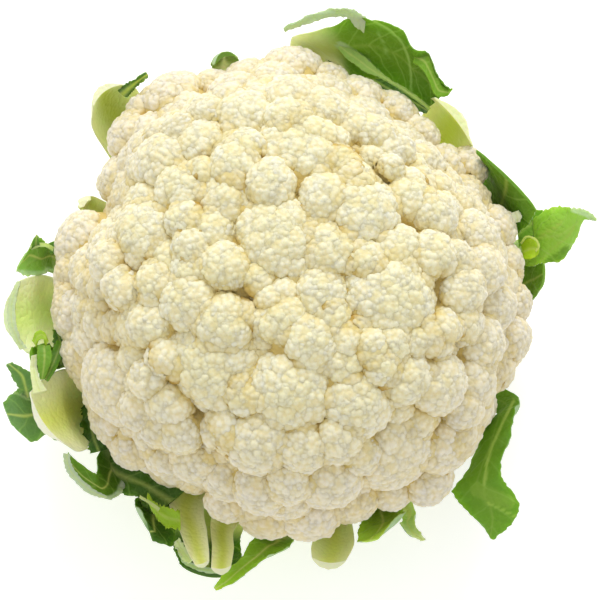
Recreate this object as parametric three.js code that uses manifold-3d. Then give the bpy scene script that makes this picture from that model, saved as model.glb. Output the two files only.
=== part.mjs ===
// A trimmed head of cauliflower: the white curd of packed florets, the cut stalk under it, and the
// leaves that still wrap it, some cut to stubs and some with torn pieces of blade.
// Millimetres, +Z up. The origin is the middle of the stalk's cut face, which the head stands on.

import * as THREE from "three";
import { mergeVertices } from "three/addons/utils/BufferGeometryUtils.js";
import Module from "manifold-3d";

const wasm = await Module();
wasm.setup();

// Driving dimensions
const HEAD_OUTLINE = [84, 79, 75, 78, 86, 83, 85, 75, 85, 85, 85, 81, 88, 84, 89, 85]; // radii, from +X towards +Y
const WIDEST_Z = 58; // level of the curd's widest section
const CROWN_RISE = 58; // from there up to the crown
const STALK_BASE_R = 21;
const STALK_TOP_R = 24;
const STALK_HEIGHT = 30;
const GAP = 0.45; // clearance between neighbouring pieces
const RIB_THICKNESS = 4.8; // of a leaf's rib where it leaves the stalk
const BLADE_THICKNESS = 1.3;

// The picture's line of sight: it looks down on the head, and its columns and rows place what it shows.
const PICTURE_MIDDLE = 300;
const MM_PER_PIXEL = 0.35;
const SIGHT_ELEVATION = THREE.MathUtils.degToRad(78);
const SIGHT_DISTANCE = 640;
const SIGHT_AIM = new THREE.Vector3(3.5, -4.3, WIDEST_Z);

// Florets of the curd as the picture shows them: column, row and radius in its pixels.
const FLORETS = [
  [292, 62, 24], [248, 72, 20], [210, 82, 18], [170, 96, 26], [140, 103, 15], [330, 72, 18],
  [362, 92, 22], [398, 105, 19], [425, 128, 16], [290, 98, 20], [228, 97, 14], [205, 112, 13],
  [245, 122, 24], [288, 122, 17], [322, 112, 20], [352, 125, 16], [376, 132, 15], [129, 131, 22],
  [157, 133, 12], [178, 128, 12], [200, 146, 19], [246, 150, 14], [165, 163, 24], [205, 172, 12],
  [235, 170, 19], [113, 174, 20], [305, 160, 38], [270, 185, 18], [342, 165, 16], [395, 147, 16],
  [392, 168, 9], [425, 160, 18], [452, 162, 17], [474, 163, 15], [325, 200, 18], [358, 182, 15],
  [110, 205, 15], [143, 203, 17], [185, 193, 21], [232, 198, 23], [185, 222, 14], [212, 233, 19],
  [147, 243, 32], [190, 248, 12], [76, 240, 25], [106, 262, 14], [277, 244, 36], [332, 250, 24],
  [360, 218, 27], [405, 200, 23], [433, 215, 17], [468, 200, 21], [475, 238, 20], [498, 228, 18],
  [395, 252, 19], [365, 262, 14], [430, 257, 18], [456, 260, 13], [485, 270, 18], [511, 264, 15],
  [192, 272, 15], [225, 268, 18], [71, 275, 20], [156, 286, 16], [122, 290, 16], [320, 295, 18],
  [385, 300, 36], [330, 317, 13], [348, 338, 13], [311, 341, 20], [280, 317, 29], [462, 292, 19],
  [498, 307, 18], [521, 303, 14], [436, 333, 19], [415, 342, 11], [392, 344, 12], [370, 347, 12],
  [464, 326, 16], [190, 302, 21], [78, 312, 26], [153, 327, 18], [225, 322, 22], [215, 364, 38],
  [163, 360, 15], [82, 356, 21], [345, 364, 19], [379, 366, 14], [402, 378, 21], [436, 385, 23],
  [482, 346, 21], [514, 341, 19], [475, 382, 20], [503, 372, 16], [290, 388, 33], [353, 399, 28],
  [245, 395, 14], [120, 382, 32], [148, 380, 14], [168, 402, 19], [136, 413, 15], [110, 424, 19],
  [156, 431, 13], [179, 434, 16], [466, 411, 16], [224, 431, 19], [259, 438, 26], [303, 445, 20],
  [338, 438, 19], [389, 444, 35], [361, 457, 15], [442, 447, 24], [462, 440, 14], [194, 461, 18],
  [160, 460, 14], [128, 449, 18], [330, 478, 24], [290, 480, 18], [262, 489, 20], [228, 480, 18],
  [191, 482, 12], [431, 486, 18], [395, 494, 16], [355, 503, 18], [310, 514, 22], [268, 515, 20],
  [227, 505, 16],
];
const FLORET_SWELL = 1.24; // a floret's ball is this much wider than what shows of it
const FLORET_LIFT = 1.2; // how far a floret stands above or below the others
const SQUARENESS = 2.3; // above 2, the crown is flatter than a ball
const CORE_INSET = 8.5; // depth of the core under the outline
const CORE_CENTRE_Z = 46;
const CORE_UNDER = 17; // how far the core reaches below its centre
const RIM_RINGS = [ // further florets round the rim and under it
  { count: 27, inset: 1, z: 58, radius: 10 },
  { count: 25, inset: 5, z: 48, radius: 10 },
  { count: 21, inset: 17, z: 42, radius: 10 },
];
const FILL = { tries: 420, radius: 7.6, lowest: -0.1 }; // small florets wherever the core still shows
const UNDER_RIDGES = 11; // branches that show on the underside
const CURD_DETAIL = 20; // subdivisions of the icosahedron that the curd is raised on
const UPPER_SHARE = 1.35; // above 1, more of its corners lie on the upper side

// Levels at which leaves leave the stalk: how far out and how high each runs under the curd.
const LEVELS = [
  [[17, 24.6], [34, 24.8], [52, 28], [70, 34], [82, 43]],
  [[17, 18.2], [34, 18.6], [53, 22.2], [73, 29.2], [88, 40]],
  [[17, 11.8], [34, 12.2], [55, 16.2], [76, 24], [93, 36]],
  [[17, 5.6], [34, 6], [56, 10], [79, 19.5], [98, 32]],
];
const ROOT_HALF_WIDTH = 6;
const PETIOLE_HALF_WIDTH = 8.5;
const CLEAR_OF_CURD = 2.2;

// Each leaf: its level, the bearing of its root in degrees from +X towards +Y, the depth of its
// hollow, the rib's thickness at its outer end, and its stations from the curd's rim outwards. A
// station has the column, row and height of its left edge and of its right edge, looking outwards.
const LEAVES = {
  leaf_top: { level: 3, root: 80, hollow: 0.12, rib: 2.4, at: [
    [290, 46, 50, 334, 66, 48], [296, 36, 60, 345, 70, 50], [330, 28, 68, 350, 76, 52], [352, 17, 73, 362, 78, 53],
    [375, 20, 74, 376, 78, 54], [400, 30, 74, 393, 84, 55], [414, 48, 72, 408, 92, 56], [428, 55, 70, 418, 100, 57],
    [438, 78, 68, 428, 107, 58], [450, 88, 67, 438, 100, 60],
  ], strips: [[[284, 31, 66, 286, 33, 63], [303, 18, 72, 305, 24, 70], [325, 11, 74, 327, 19, 72], [345, 8, 76, 346, 17, 73],
    [356, 12, 76, 356, 26, 71], [366, 18, 74, 364, 34, 69]]] },
  stub_right_top: { level: 2, root: 47, hollow: 0.3, rib: 5, at: [
    [434, 110, 46, 470, 152, 46], [437, 103, 58, 472, 147, 58], [440, 100, 68, 470, 142, 66],
  ] },
  leaf_right_top: { level: 1, root: 20, hollow: 0.25, rib: 2, at: [
    [486, 176, 46, 508, 226, 46], [483, 168, 56, 517, 218, 56], [480, 160, 63, 527, 210, 63], [476, 153, 68, 534, 208, 67],
  ] },
  leaf_right: { level: 3, root: 12, hollow: -0.16, rib: 2.4, at: [
    [522, 238, 35, 522, 266, 35], [533, 221, 50, 531, 266, 46], [545, 210, 58, 543, 263, 50], [559, 207, 62, 562, 260, 52],
    [574, 208, 62, 577, 238, 57], [586, 210, 61, 584, 220, 60], [597, 218, 60, 596, 221, 60],
  ] },
  leaf_right_low: { level: 2, root: -12, hollow: 0.2, rib: 2, at: [
    [519, 274, 36, 526, 304, 36], [531, 270, 42, 532, 300, 42], [541, 268, 46, 540, 288, 46],
  ] },
  leaf_right_bottom: { level: 3, root: -25, hollow: -0.12, rib: 3, at: [
    [512, 392, 40, 494, 412, 38], [515, 410, 47, 484, 424, 42], [509, 438, 50, 474, 452, 44], [501, 462, 51, 463, 478, 45],
    [504, 482, 51, 452, 490, 44], [519, 502, 49, 458, 501, 45], [515, 520, 47, 470, 514, 46], [500, 534, 46, 483, 527, 45],
    [492, 540, 45, 489, 537, 44],
  ] },
  leaf_bottom_right: { level: 2, root: -60, hollow: 0.2, rib: 2.2, at: [
    [400, 503, 42, 360, 514, 42], [403, 511, 50, 358, 530, 48], [391, 524, 53, 357, 540, 51], [379, 538, 53, 361, 541, 52],
  ] },
  leaf_bottom_tip: { level: 3, root: -61, hollow: 0.2, rib: 2, at: [
    [414, 506, 27, 400, 510, 27], [414, 520, 38, 400, 522, 38], [420, 532, 45, 408, 534, 45], [426, 540, 45, 421, 541, 45],
  ] },
  stub_bottom: { level: 1, root: -84, hollow: 0.3, rib: 5, at: [
    [353, 528, 42, 313, 532, 42], [354, 544, 50, 311, 548, 50], [346, 560, 56, 312, 557, 56],
  ] },
  leaf_bottom: { level: 2, root: -97, hollow: 0.18, rib: 2.2, at: [
    [294, 540, 35, 264, 534, 35], [286, 547, 43, 252, 540, 43], [268, 557, 47, 242, 556, 47], [248, 571, 49, 226, 571, 48],
    [231, 584, 50, 218, 581, 49], [216, 590, 48, 213, 588, 48],
  ] },
  petiole_bottom: { level: 0, root: -98, hollow: 0.3, rib: 5, at: [
    [235, 528, 40, 211, 520, 40], [234, 548, 49, 212, 545, 49], [231, 566, 56, 211, 567, 56],
  ] },
  petiole_bottom_left: { level: 1, root: -117, hollow: 0.3, rib: 5.5, at: [
    [206, 505, 38, 174, 498, 38], [207, 530, 47, 178, 524, 47], [209, 550, 53, 187, 550, 53], [209, 560, 55, 195, 565, 55],
  ] },
  leaf_bottom_under: { level: 3, root: -112, hollow: 0.25, rib: 2.6, at: [
    [240, 540, 30, 170, 532, 30], [242, 558, 37, 174, 549, 37], [234, 574, 42, 181, 563, 42],
  ] },
  leaf_bottom_left: { level: 2, root: -135, hollow: 0.2, rib: 2.2, at: [
    [170, 500, 32, 146, 486, 32], [174, 525, 41, 136, 500, 42], [172, 545, 47, 142, 514, 48], [153, 541, 48, 147, 522, 48],
  ] },
  leaf_left_bottom: { level: 0, root: -140, hollow: 0.2, rib: 3, at: [
    [130, 480, 38, 100, 450, 38], [120, 494, 46, 99, 470, 46], [108, 499, 50, 96, 475, 50], [86, 488, 52, 80, 463, 52],
    [66, 466, 53, 68, 452, 53],
  ] },
  petiole_left: { level: 1, root: -152, hollow: 0.28, rib: 7, at: [
    [90, 442, 40, 68, 384, 40], [84, 449, 50, 54, 388, 50], [75, 450, 57, 40, 393, 57], [64, 443, 61, 31, 399, 61],
  ] },
  leaf_left_under: { level: 3, root: -155, hollow: 0.12, rib: 2.6, at: [
    [62, 440, 32, 42, 388, 32], [48, 434, 39, 31, 392, 40], [32, 442, 43, 18, 389, 45], [12, 425, 45, 3, 403, 47],
  ], strips: [[[22, 400, 42, 34, 396, 42], [18, 388, 47, 33, 386, 46], [12, 377, 50, 31, 373, 49], [6, 365, 52, 12, 363, 52]]] },
  curl_left: { level: 0, root: -173, hollow: 0.3, rib: 2, at: [
    [62, 368, 42, 60, 348, 42], [51, 371, 52, 47, 343, 52], [41, 373, 60, 34, 347, 60],
  ] },
  slab_left: { level: 2, root: -174, hollow: 0.3, rib: 6, at: [
    [58, 332, 38, 53, 280, 38], [40, 337, 50, 38, 277, 50], [24, 343, 57, 19, 281, 57], [14, 334, 60, 8, 298, 60],
  ] },
  leaf_left_top: { level: 3, root: 167, hollow: 0.2, rib: 2.4, at: [
    [52, 272, 40, 60, 242, 40], [40, 275, 48, 48, 244, 50], [26, 276, 51, 36, 236, 55], [17, 272, 52, 27, 254, 54],
  ] },
  stub_left: { level: 1, root: 160, hollow: 0.2, rib: 3, at: [
    [90, 216, 42, 98, 198, 42], [86, 213, 52, 91, 200, 52], [84, 209, 60, 88, 201, 60],
  ] },
  stub_left_top: { level: 2, root: 137, hollow: 0.3, rib: 5, at: [
    [102, 145, 44, 140, 94, 44], [92, 126, 55, 132, 86, 55], [94, 106, 64, 120, 85, 63],
  ], strips: [[[118, 92, 60, 126, 98, 58], [126, 84, 62, 132, 93, 60], [136, 78, 63, 139, 85, 61], [147, 73, 63, 148, 75, 62]]] },
  stub_top: { level: 1, root: 106, hollow: 0.25, rib: 3, at: [
    [212, 72, 46, 240, 66, 46], [212, 66, 56, 238, 59, 56], [215, 62, 63, 235, 57, 63],
  ] },
};

// A point of the line of sight through the picture's column and row, at the height z.
function sight(column, row, z) {
  const back = new THREE.Vector3(0, -Math.cos(SIGHT_ELEVATION), Math.sin(SIGHT_ELEVATION));
  const up = new THREE.Vector3(0, Math.sin(SIGHT_ELEVATION), Math.cos(SIGHT_ELEVATION));
  const eye = SIGHT_AIM.clone().addScaledVector(back, SIGHT_DISTANCE);
  const seen = SIGHT_AIM.clone().addScaledVector(up, (PICTURE_MIDDLE - row) * MM_PER_PIXEL);
  seen.x += (column - PICTURE_MIDDLE) * MM_PER_PIXEL;
  return eye.lerp(seen, (z - eye.z) / (seen.z - eye.z));
}

// The curd's outline radius at a bearing, between the stated radii.
function outline(bearing) {
  const count = HEAD_OUTLINE.length;
  const place = (bearing / (2 * Math.PI) + 1) * count;
  const share = (1 - Math.cos(Math.PI * (place % 1))) / 2;
  const from = HEAD_OUTLINE[Math.floor(place) % count];
  const to = HEAD_OUTLINE[Math.ceil(place) % count];
  return from + (to - from) * share;
}

// Balls of the florets that the picture shows, each on the dome, and of the rings under the rim.
function floretBalls() {
  const balls = FLORETS.map(([column, row, pixels], i) => {
    const radius = pixels * MM_PER_PIXEL * FLORET_SWELL;
    const centre = sight(column, row, WIDEST_Z);
    for (let pass = 0; pass < 8; pass++) {
      const reach = outline(Math.atan2(centre.y, centre.x)) - radius;
      const share = Math.min(1, Math.hypot(centre.x, centre.y) / reach);
      const rise = (CROWN_RISE - radius) * Math.sqrt(1 - share ** SQUARENESS);
      centre.copy(sight(column, row, WIDEST_Z + rise + FLORET_LIFT * Math.sin(2.4 * i)));
    }
    return { centre, radius };
  });
  for (const { count, inset, z, radius } of RIM_RINGS)
    for (let i = 0; i < count; i++) {
      const bearing = (2 * Math.PI * (i + 0.3 * Math.sin(3.1 * i))) / count;
      const size = radius * (1 + 0.15 * Math.sin(1.7 * i));
      const reach = outline(bearing) - inset - size;
      const level = z + (z > WIDEST_Z - 1 ? 8 * Math.max(0, Math.sin(bearing)) : 0);
      const centre = new THREE.Vector3(reach * Math.cos(bearing), reach * Math.sin(bearing), level);
      balls.push({ centre, radius: size });
    }
  for (let k = 0; k < FILL.tries; k++) {
    const up = 1 - ((1 - FILL.lowest) * (k + 0.5)) / FILL.tries;
    const turn = 2.399963 * k;
    const flat = Math.sqrt(1 - up * up);
    const direction = new THREE.Vector3(flat * Math.cos(turn), flat * Math.sin(turn), up);
    const { reach, winner } = curdReach(direction, balls);
    if (winner >= 0) continue;
    const centre = direction.multiplyScalar(reach + CORE_INSET - FILL.radius);
    centre.z += CORE_CENTRE_Z;
    balls.push({ centre, radius: FILL.radius });
  }
  return balls;
}

// How far the curd reaches from its core's centre in a direction, and which ball ends it there.
function curdReach(direction, balls) {
  const side = outline(Math.atan2(direction.y, direction.x)) - CORE_INSET;
  const ridge = 1 + 0.1 * Math.cos(UNDER_RIDGES * Math.atan2(direction.y, direction.x));
  const half = direction.z > 0 ? WIDEST_Z + CROWN_RISE - CORE_INSET - CORE_CENTRE_Z : CORE_UNDER * ridge;
  const flat = Math.hypot(direction.x, direction.y);
  let reach = 1 / Math.hypot(flat / side, direction.z / half);
  let winner = -1;
  balls.forEach(({ centre, radius }, i) => {
    const offset = new THREE.Vector3(centre.x, centre.y, centre.z - CORE_CENTRE_Z);
    const along = offset.dot(direction);
    const inside = radius ** 2 - offset.lengthSq() + along ** 2;
    if (along > 0 && inside > 0 && along + Math.sqrt(inside) > reach) {
      reach = along + Math.sqrt(inside);
      winner = i;
    }
  });
  const floor = STALK_HEIGHT + GAP - CORE_CENTRE_Z;
  if (direction.z * reach < floor) {
    reach = floor / direction.z;
    winner = -2;
  }
  return { reach, winner };
}

// Moves a direction onto the nearest crease between two balls, where one lies within step of it.
function toCrease(direction, balls, step) {
  const own = curdReach(direction, balls).winner;
  const side = new THREE.Vector3(0, 0, 1).cross(direction);
  if (side.lengthSq() < 1e-6) side.set(1, 0, 0);
  side.normalize();
  const up = direction.clone().cross(side);
  let best = direction;
  let nearest = step;
  for (let k = 0; k < 8; k++) {
    const turn = (k * Math.PI) / 4;
    const away = side.clone().multiplyScalar(Math.cos(turn)).addScaledVector(up, Math.sin(turn));
    const at = (far) => direction.clone().addScaledVector(away, far).normalize();
    if (curdReach(at(nearest), balls).winner === own) continue;
    let low = 0;
    let high = nearest;
    for (let halving = 0; halving < 6; halving++) {
      const middle = (low + high) / 2;
      if (curdReach(at(middle), balls).winner === own) low = middle;
      else high = middle;
    }
    nearest = low;
    best = at(low);
  }
  return best;
}

function curdGeometry(balls) {
  const shell = new THREE.IcosahedronGeometry(1, CURD_DETAIL);
  shell.deleteAttribute("normal");
  shell.deleteAttribute("uv");
  const geometry = mergeVertices(shell, 1e-5);
  const position = geometry.getAttribute("position");
  const edge = 1.15 / (CURD_DETAIL + 1);
  for (let i = 0; i < position.count; i++) {
    const corner = new THREE.Vector3().fromBufferAttribute(position, i).normalize();
    const polar = Math.PI * (Math.acos(corner.z) / Math.PI) ** UPPER_SHARE;
    const bearing = Math.atan2(corner.y, corner.x);
    corner.setFromSphericalCoords(1, polar, bearing);
    corner.set(corner.z, corner.x, corner.y); // three.js measures the polar angle from its own Y
    const direction = toCrease(corner, balls, 0.4 * edge);
    direction.multiplyScalar(curdReach(direction, balls).reach);
    position.setXYZ(i, direction.x, direction.y, direction.z + CORE_CENTRE_Z);
  }
  return geometry;
}

function stalkProfile(grow) {
  return [
    [0, 0], [STALK_BASE_R - 1.2, 0], [STALK_BASE_R, 1.2], [STALK_BASE_R + 2, 10], [STALK_TOP_R, STALK_HEIGHT], [0, STALK_HEIGHT],
  ].map(([r, z]) => new THREE.Vector2(r > 0 ? r + grow : 0, z));
}

function stalkGeometry(grow = 0) {
  return new THREE.LatheGeometry(stalkProfile(grow), 28).rotateX(Math.PI / 2);
}

// The least distance from the core's centre, in a direction, that clears the curd.
function clearReach(direction, balls) {
  const side = new THREE.Vector3(-direction.y, direction.x, 0).normalize();
  const up = direction.clone().cross(side);
  let reach = curdReach(direction, balls).reach;
  for (let k = 0; k < 8; k++) {
    const turn = (k * Math.PI) / 4;
    const near = direction.clone().addScaledVector(side, 0.07 * Math.cos(turn));
    near.addScaledVector(up, 0.07 * Math.sin(turn)).normalize();
    reach = Math.max(reach, curdReach(near, balls).reach);
  }
  return reach + CLEAR_OF_CURD;
}

// Moves a point straight out from the curd's middle until it clears the curd.
function bendClear(point, balls) {
  const centre = new THREE.Vector3(0, 0, CORE_CENTRE_Z);
  const offset = point.clone().sub(centre);
  const short = clearReach(offset.clone().normalize(), balls) - offset.length();
  return short > 0 ? point.addScaledVector(offset.normalize(), short) : point;
}

// The edges of a leaf's part under the curd, from the stalk out to its first station.
function rootEdges({ level, root, at }) {
  const first = at[0];
  const left = sight(first[0], first[1], first[2]);
  const right = sight(first[3], first[4], first[5]);
  const middle = left.clone().add(right).multiplyScalar(0.5);
  const rootBearing = THREE.MathUtils.degToRad(root);
  let swing = Math.atan2(middle.y, middle.x) - rootBearing;
  swing -= 2 * Math.PI * Math.round(swing / (2 * Math.PI));
  const far = Math.hypot(middle.x, middle.y);
  const half = left.distanceTo(right) / 2;
  const edges = [];
  for (const [r, z] of LEVELS[level]) {
    if (r > far - 7) continue;
    const bearing = rootBearing + swing * (r / far) ** 1.5;
    const spread = Math.max(0, (r - STALK_BASE_R) / (far - STALK_BASE_R));
    const wide = ROOT_HALF_WIDTH + (Math.max(half, PETIOLE_HALF_WIDTH) - ROOT_HALF_WIDTH) * spread ** 0.8;
    const point = (side) => new THREE.Vector3(
      r * Math.cos(bearing) + side * wide * Math.sin(bearing),
      r * Math.sin(bearing) - side * wide * Math.cos(bearing),
      z,
    );
    edges.push([point(-1), point(1)]);
  }
  return edges;
}

// A closed strip of leaf through its edges: ribbed along its middle, thin at its margins.
function stripGeometry(edges, { hollow, ribs, sections, places, wave }, balls) {
  const leftCurve = new THREE.CatmullRomCurve3(edges.map(([left]) => left), false, "catmullrom", 0.4);
  const rightCurve = new THREE.CatmullRomCurve3(edges.map(([, right]) => right), false, "catmullrom", 0.4);
  const corners = [];
  for (let i = 0; i <= sections; i++) {
    const share = i / sections;
    const left = leftCurve.getPoint(share);
    const right = rightCurve.getPoint(share);
    const along = leftCurve.getTangent(share).add(rightCurve.getTangent(share)).normalize();
    const across = right.clone().sub(left).multiplyScalar(0.5);
    const half = across.length();
    const face = across.clone().cross(along).normalize();
    const middle = left.clone().add(right).multiplyScalar(0.5);
    const rib = THREE.MathUtils.lerp(ribs[0], ribs[1], share);
    const opening = Math.min(1, 2.2 * share);
    const lower = [];
    for (const place of places) {
      const bulge = Math.max(0, 1 - ((place * half) / Math.min(half, ROOT_HALF_WIDTH + 2)) ** 2);
      const thickness = BLADE_THICKNESS + Math.max(0, rib - BLADE_THICKNESS) * bulge;
      const sink = hollow * opening * half * (place * place - 1);
      const ripple = wave * opening * place ** 4 * Math.sin(2.3 * i + (place > 0 ? 1.2 : 0));
      const upper = middle.clone().addScaledVector(across, place).addScaledVector(face, sink + ripple);
      const under = upper.clone().addScaledVector(face, -thickness);
      const freed = bendClear(upper.clone(), balls).sub(upper);
      upper.add(freed);
      under.add(freed);
      corners.push(upper);
      lower.push(under);
    }
    corners.push(...lower);
  }
  const columns = places.length;
  const faces = [];
  const at = (i, j, lower) => i * 2 * columns + (lower ? columns : 0) + j;
  const quad = (a, b, c, d) => faces.push(a, b, c, a, c, d);
  for (let i = 0; i < sections; i++) {
    for (let j = 0; j + 1 < columns; j++) {
      quad(at(i, j), at(i, j + 1), at(i + 1, j + 1), at(i + 1, j));
      faces.push(at(i, j, true), at(i + 1, j + 1, true), at(i, j + 1, true));
      faces.push(at(i, j, true), at(i + 1, j, true), at(i + 1, j + 1, true));
    }
    quad(at(i, 0), at(i + 1, 0), at(i + 1, 0, true), at(i, 0, true));
    quad(at(i, columns - 1), at(i, columns - 1, true), at(i + 1, columns - 1, true), at(i + 1, columns - 1));
  }
  for (let j = 0; j + 1 < columns; j++) {
    quad(at(0, j), at(0, j, true), at(0, j + 1, true), at(0, j + 1));
    quad(at(sections, j), at(sections, j + 1), at(sections, j + 1, true), at(sections, j, true));
  }
  const geometry = new THREE.BufferGeometry().setFromPoints(corners);
  geometry.setIndex(faces);
  return geometry;
}

// A leaf from the stalk outwards, with any torn strips of its blade joined on.
function leafSolid(leaf, balls) {
  const seen = (stations) => stations.map((s) => [sight(s[0], s[1], s[2]), sight(s[3], s[4], s[5])]);
  const big = leaf.at.length > 4;
  const edges = [...rootEdges(leaf), ...seen(leaf.at)];
  const form = {
    hollow: leaf.hollow,
    ribs: [RIB_THICKNESS, leaf.rib],
    sections: Math.round(edges.length * (big ? 1.5 : 1.3)),
    places: big ? [-1, -0.68, -0.36, -0.12, 0.12, 0.36, 0.68, 1] : [-1, -0.6, -0.2, 0.2, 0.6, 1],
    wave: leaf.rib < 4 ? 0.8 : 0,
  };
  let solid = toSolid(stripGeometry(edges, form, balls));
  for (const strip of leaf.strips ?? []) {
    const torn = { hollow: 0, ribs: [BLADE_THICKNESS, BLADE_THICKNESS], sections: 6, places: [-1, -0.3, 0.3, 1], wave: 0 };
    solid = solid.add(toSolid(stripGeometry(seen(strip), torn, balls)));
  }
  return solid;
}

function toSolid(geometry) {
  const bare = geometry.clone();
  bare.deleteAttribute("normal");
  bare.deleteAttribute("uv");
  const merged = mergeVertices(bare, 1e-3);
  return new wasm.Manifold(
    new wasm.Mesh({
      numProp: 3,
      vertProperties: merged.getAttribute("position").array,
      triVerts: new Uint32Array(merged.index.array),
    }),
  );
}

function toGeometry(solid) {
  const mesh = solid.getMesh();
  const geometry = new THREE.BufferGeometry();
  geometry.setAttribute("position", new THREE.BufferAttribute(mesh.vertProperties, 3));
  geometry.setIndex(new THREE.BufferAttribute(mesh.triVerts, 1));
  return geometry;
}

const curdSkin = new THREE.MeshStandardMaterial({ color: 0xece4c4, roughness: 0.75, metalness: 0 });
const stalkSkin = new THREE.MeshStandardMaterial({ color: 0xdfe3b8, roughness: 0.6, metalness: 0 });
const leafSkin = new THREE.MeshStandardMaterial({ color: 0x6f9a2a, roughness: 0.5, metalness: 0 });

const cauliflower = new THREE.Group();

function add(name, geometry, material) {
  const mesh = new THREE.Mesh(geometry, material);
  mesh.name = name;
  cauliflower.add(mesh);
}

const balls = floretBalls();
add("curd", curdGeometry(balls), curdSkin);
add("stalk", stalkGeometry(), stalkSkin);
const socket = toSolid(stalkGeometry(GAP));
for (const [name, leaf] of Object.entries(LEAVES))
  add(name, toGeometry(leafSolid(leaf, balls).subtract(socket)), leafSkin);

export default cauliflower;
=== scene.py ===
import math

import bpy
import numpy as np
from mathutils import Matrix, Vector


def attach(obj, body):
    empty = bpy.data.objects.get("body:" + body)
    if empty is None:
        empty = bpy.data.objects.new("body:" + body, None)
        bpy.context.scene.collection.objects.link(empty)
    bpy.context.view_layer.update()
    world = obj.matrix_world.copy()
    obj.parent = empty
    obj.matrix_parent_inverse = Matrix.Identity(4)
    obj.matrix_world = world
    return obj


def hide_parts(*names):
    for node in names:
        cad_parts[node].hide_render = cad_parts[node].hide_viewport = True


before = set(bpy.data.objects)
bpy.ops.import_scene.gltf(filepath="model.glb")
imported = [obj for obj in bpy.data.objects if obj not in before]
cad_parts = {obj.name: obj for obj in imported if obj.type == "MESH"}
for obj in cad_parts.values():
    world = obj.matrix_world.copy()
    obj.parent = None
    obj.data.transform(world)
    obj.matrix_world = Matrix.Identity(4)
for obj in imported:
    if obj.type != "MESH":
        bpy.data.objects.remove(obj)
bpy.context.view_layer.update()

# A cauliflower head seen from almost straight above. Lengths are in millimetres, in the frame of the
# CAD model: +Z up from the stalk's cut face. Meshes are scaled to metres when they are made.
MM = 0.001
# The turn from one seed of a growth spiral to the next, and the range of random turns, in radians
GOLDEN_ANGLE = 2.399963
ANY_TURN = 6.28

# The same driving values as the CAD model. Radii of the outline start at +X and go round over +Y.
HEAD_OUTLINE = np.array([84, 79, 75, 78, 86, 83, 85, 75, 85, 85, 85, 81, 88, 84, 89, 85], float)
WIDEST_Z = 58.0
CROWN_RISE = 58.0
STALK_BASE_R = 21.0
STALK_TOP_R = 24.0
STALK_HEIGHT = 30.0
RIB_THICKNESS = 4.8
BLADE_THICKNESS = 1.3
# How far inside that outline the fine florets stop, at the same bearings
RIM_TRIM = np.array([2.4, 1.6, 3.8, 4.8, 5.2, 3.8, 3.8, 5.8, 2.4, 2.8, 2.2, 1.8, 0.8, 2.0, 2.6, 3.0])

# Where the photograph is seen from, and its scale at the curd's widest height
PICTURE_MIDDLE = 300
MM_PER_PIXEL = 0.35
SIGHT_ELEVATION = math.radians(78)
SIGHT_DISTANCE = 640.0
SIGHT_AIM = np.array([3.5, -4.3, WIDEST_Z])
SIGHT_BACK = np.array([0, -math.cos(SIGHT_ELEVATION), math.sin(SIGHT_ELEVATION)])
SIGHT_UP = np.array([0, math.sin(SIGHT_ELEVATION), math.cos(SIGHT_ELEVATION)])
SENSOR_WIDTH = 36.0

# Every floret that the photograph shows: its column, row and radius in pixels
FLORETS = [
    (292, 62, 24), (248, 72, 20), (210, 82, 18), (170, 96, 26), (140, 103, 15), (330, 72, 18),
    (362, 92, 22), (398, 105, 19), (425, 128, 16), (290, 98, 20), (228, 97, 14), (205, 112, 13),
    (245, 122, 24), (288, 122, 17), (322, 112, 20), (352, 125, 16), (376, 132, 15), (129, 131, 22),
    (157, 133, 12), (178, 128, 12), (200, 146, 19), (246, 150, 14), (165, 163, 24), (205, 172, 12),
    (235, 170, 19), (113, 174, 20), (305, 160, 38), (270, 185, 18), (342, 165, 16), (395, 147, 16),
    (392, 168, 9), (425, 160, 18), (452, 162, 17), (474, 163, 15), (325, 200, 18), (358, 182, 15),
    (110, 205, 15), (143, 203, 17), (185, 193, 21), (232, 198, 23), (185, 222, 14), (212, 233, 19),
    (147, 243, 32), (190, 248, 12), (76, 240, 25), (106, 262, 14), (277, 244, 36), (332, 250, 24),
    (360, 218, 27), (405, 200, 23), (433, 215, 17), (468, 200, 21), (475, 238, 20), (498, 228, 18),
    (395, 252, 19), (365, 262, 14), (430, 257, 18), (456, 260, 13), (485, 270, 18), (511, 264, 15),
    (192, 272, 15), (225, 268, 18), (71, 275, 20), (156, 286, 16), (122, 290, 16), (320, 295, 18),
    (385, 300, 36), (330, 317, 13), (348, 338, 13), (311, 341, 20), (280, 317, 29), (462, 292, 19),
    (498, 307, 18), (521, 303, 14), (436, 333, 19), (415, 342, 11), (392, 344, 12), (370, 347, 12),
    (464, 326, 16), (190, 302, 21), (78, 312, 26), (153, 327, 18), (225, 322, 22), (215, 364, 38),
    (163, 360, 15), (82, 356, 21), (345, 364, 19), (379, 366, 14), (402, 378, 21), (436, 385, 23),
    (482, 346, 21), (514, 341, 19), (475, 382, 20), (503, 372, 16), (290, 388, 33), (353, 399, 28),
    (245, 395, 14), (120, 382, 32), (148, 380, 14), (168, 402, 19), (136, 413, 15), (110, 424, 19),
    (156, 431, 13), (179, 434, 16), (466, 411, 16), (224, 431, 19), (259, 438, 26), (303, 445, 20),
    (338, 438, 19), (389, 444, 35), (361, 457, 15), (442, 447, 24), (462, 440, 14), (194, 461, 18),
    (160, 460, 14), (128, 449, 18), (330, 478, 24), (290, 480, 18), (262, 489, 20), (228, 480, 18),
    (191, 482, 12), (431, 486, 18), (395, 494, 16), (355, 503, 18), (310, 514, 22), (268, 515, 20),
    (227, 505, 16),
]
# How much wider a floret's ball is than what shows of it, and how uneven the florets' heights are
FLORET_SWELL = 1.24
FLORET_LIFT = 1.2
# Rounds of finding a floret's height, which depends on its place and the other way round
HEIGHT_ROUNDS = 8
# The dome's profile is a circle at 2 and a box at large values
SQUARENESS = 2.3
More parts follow.
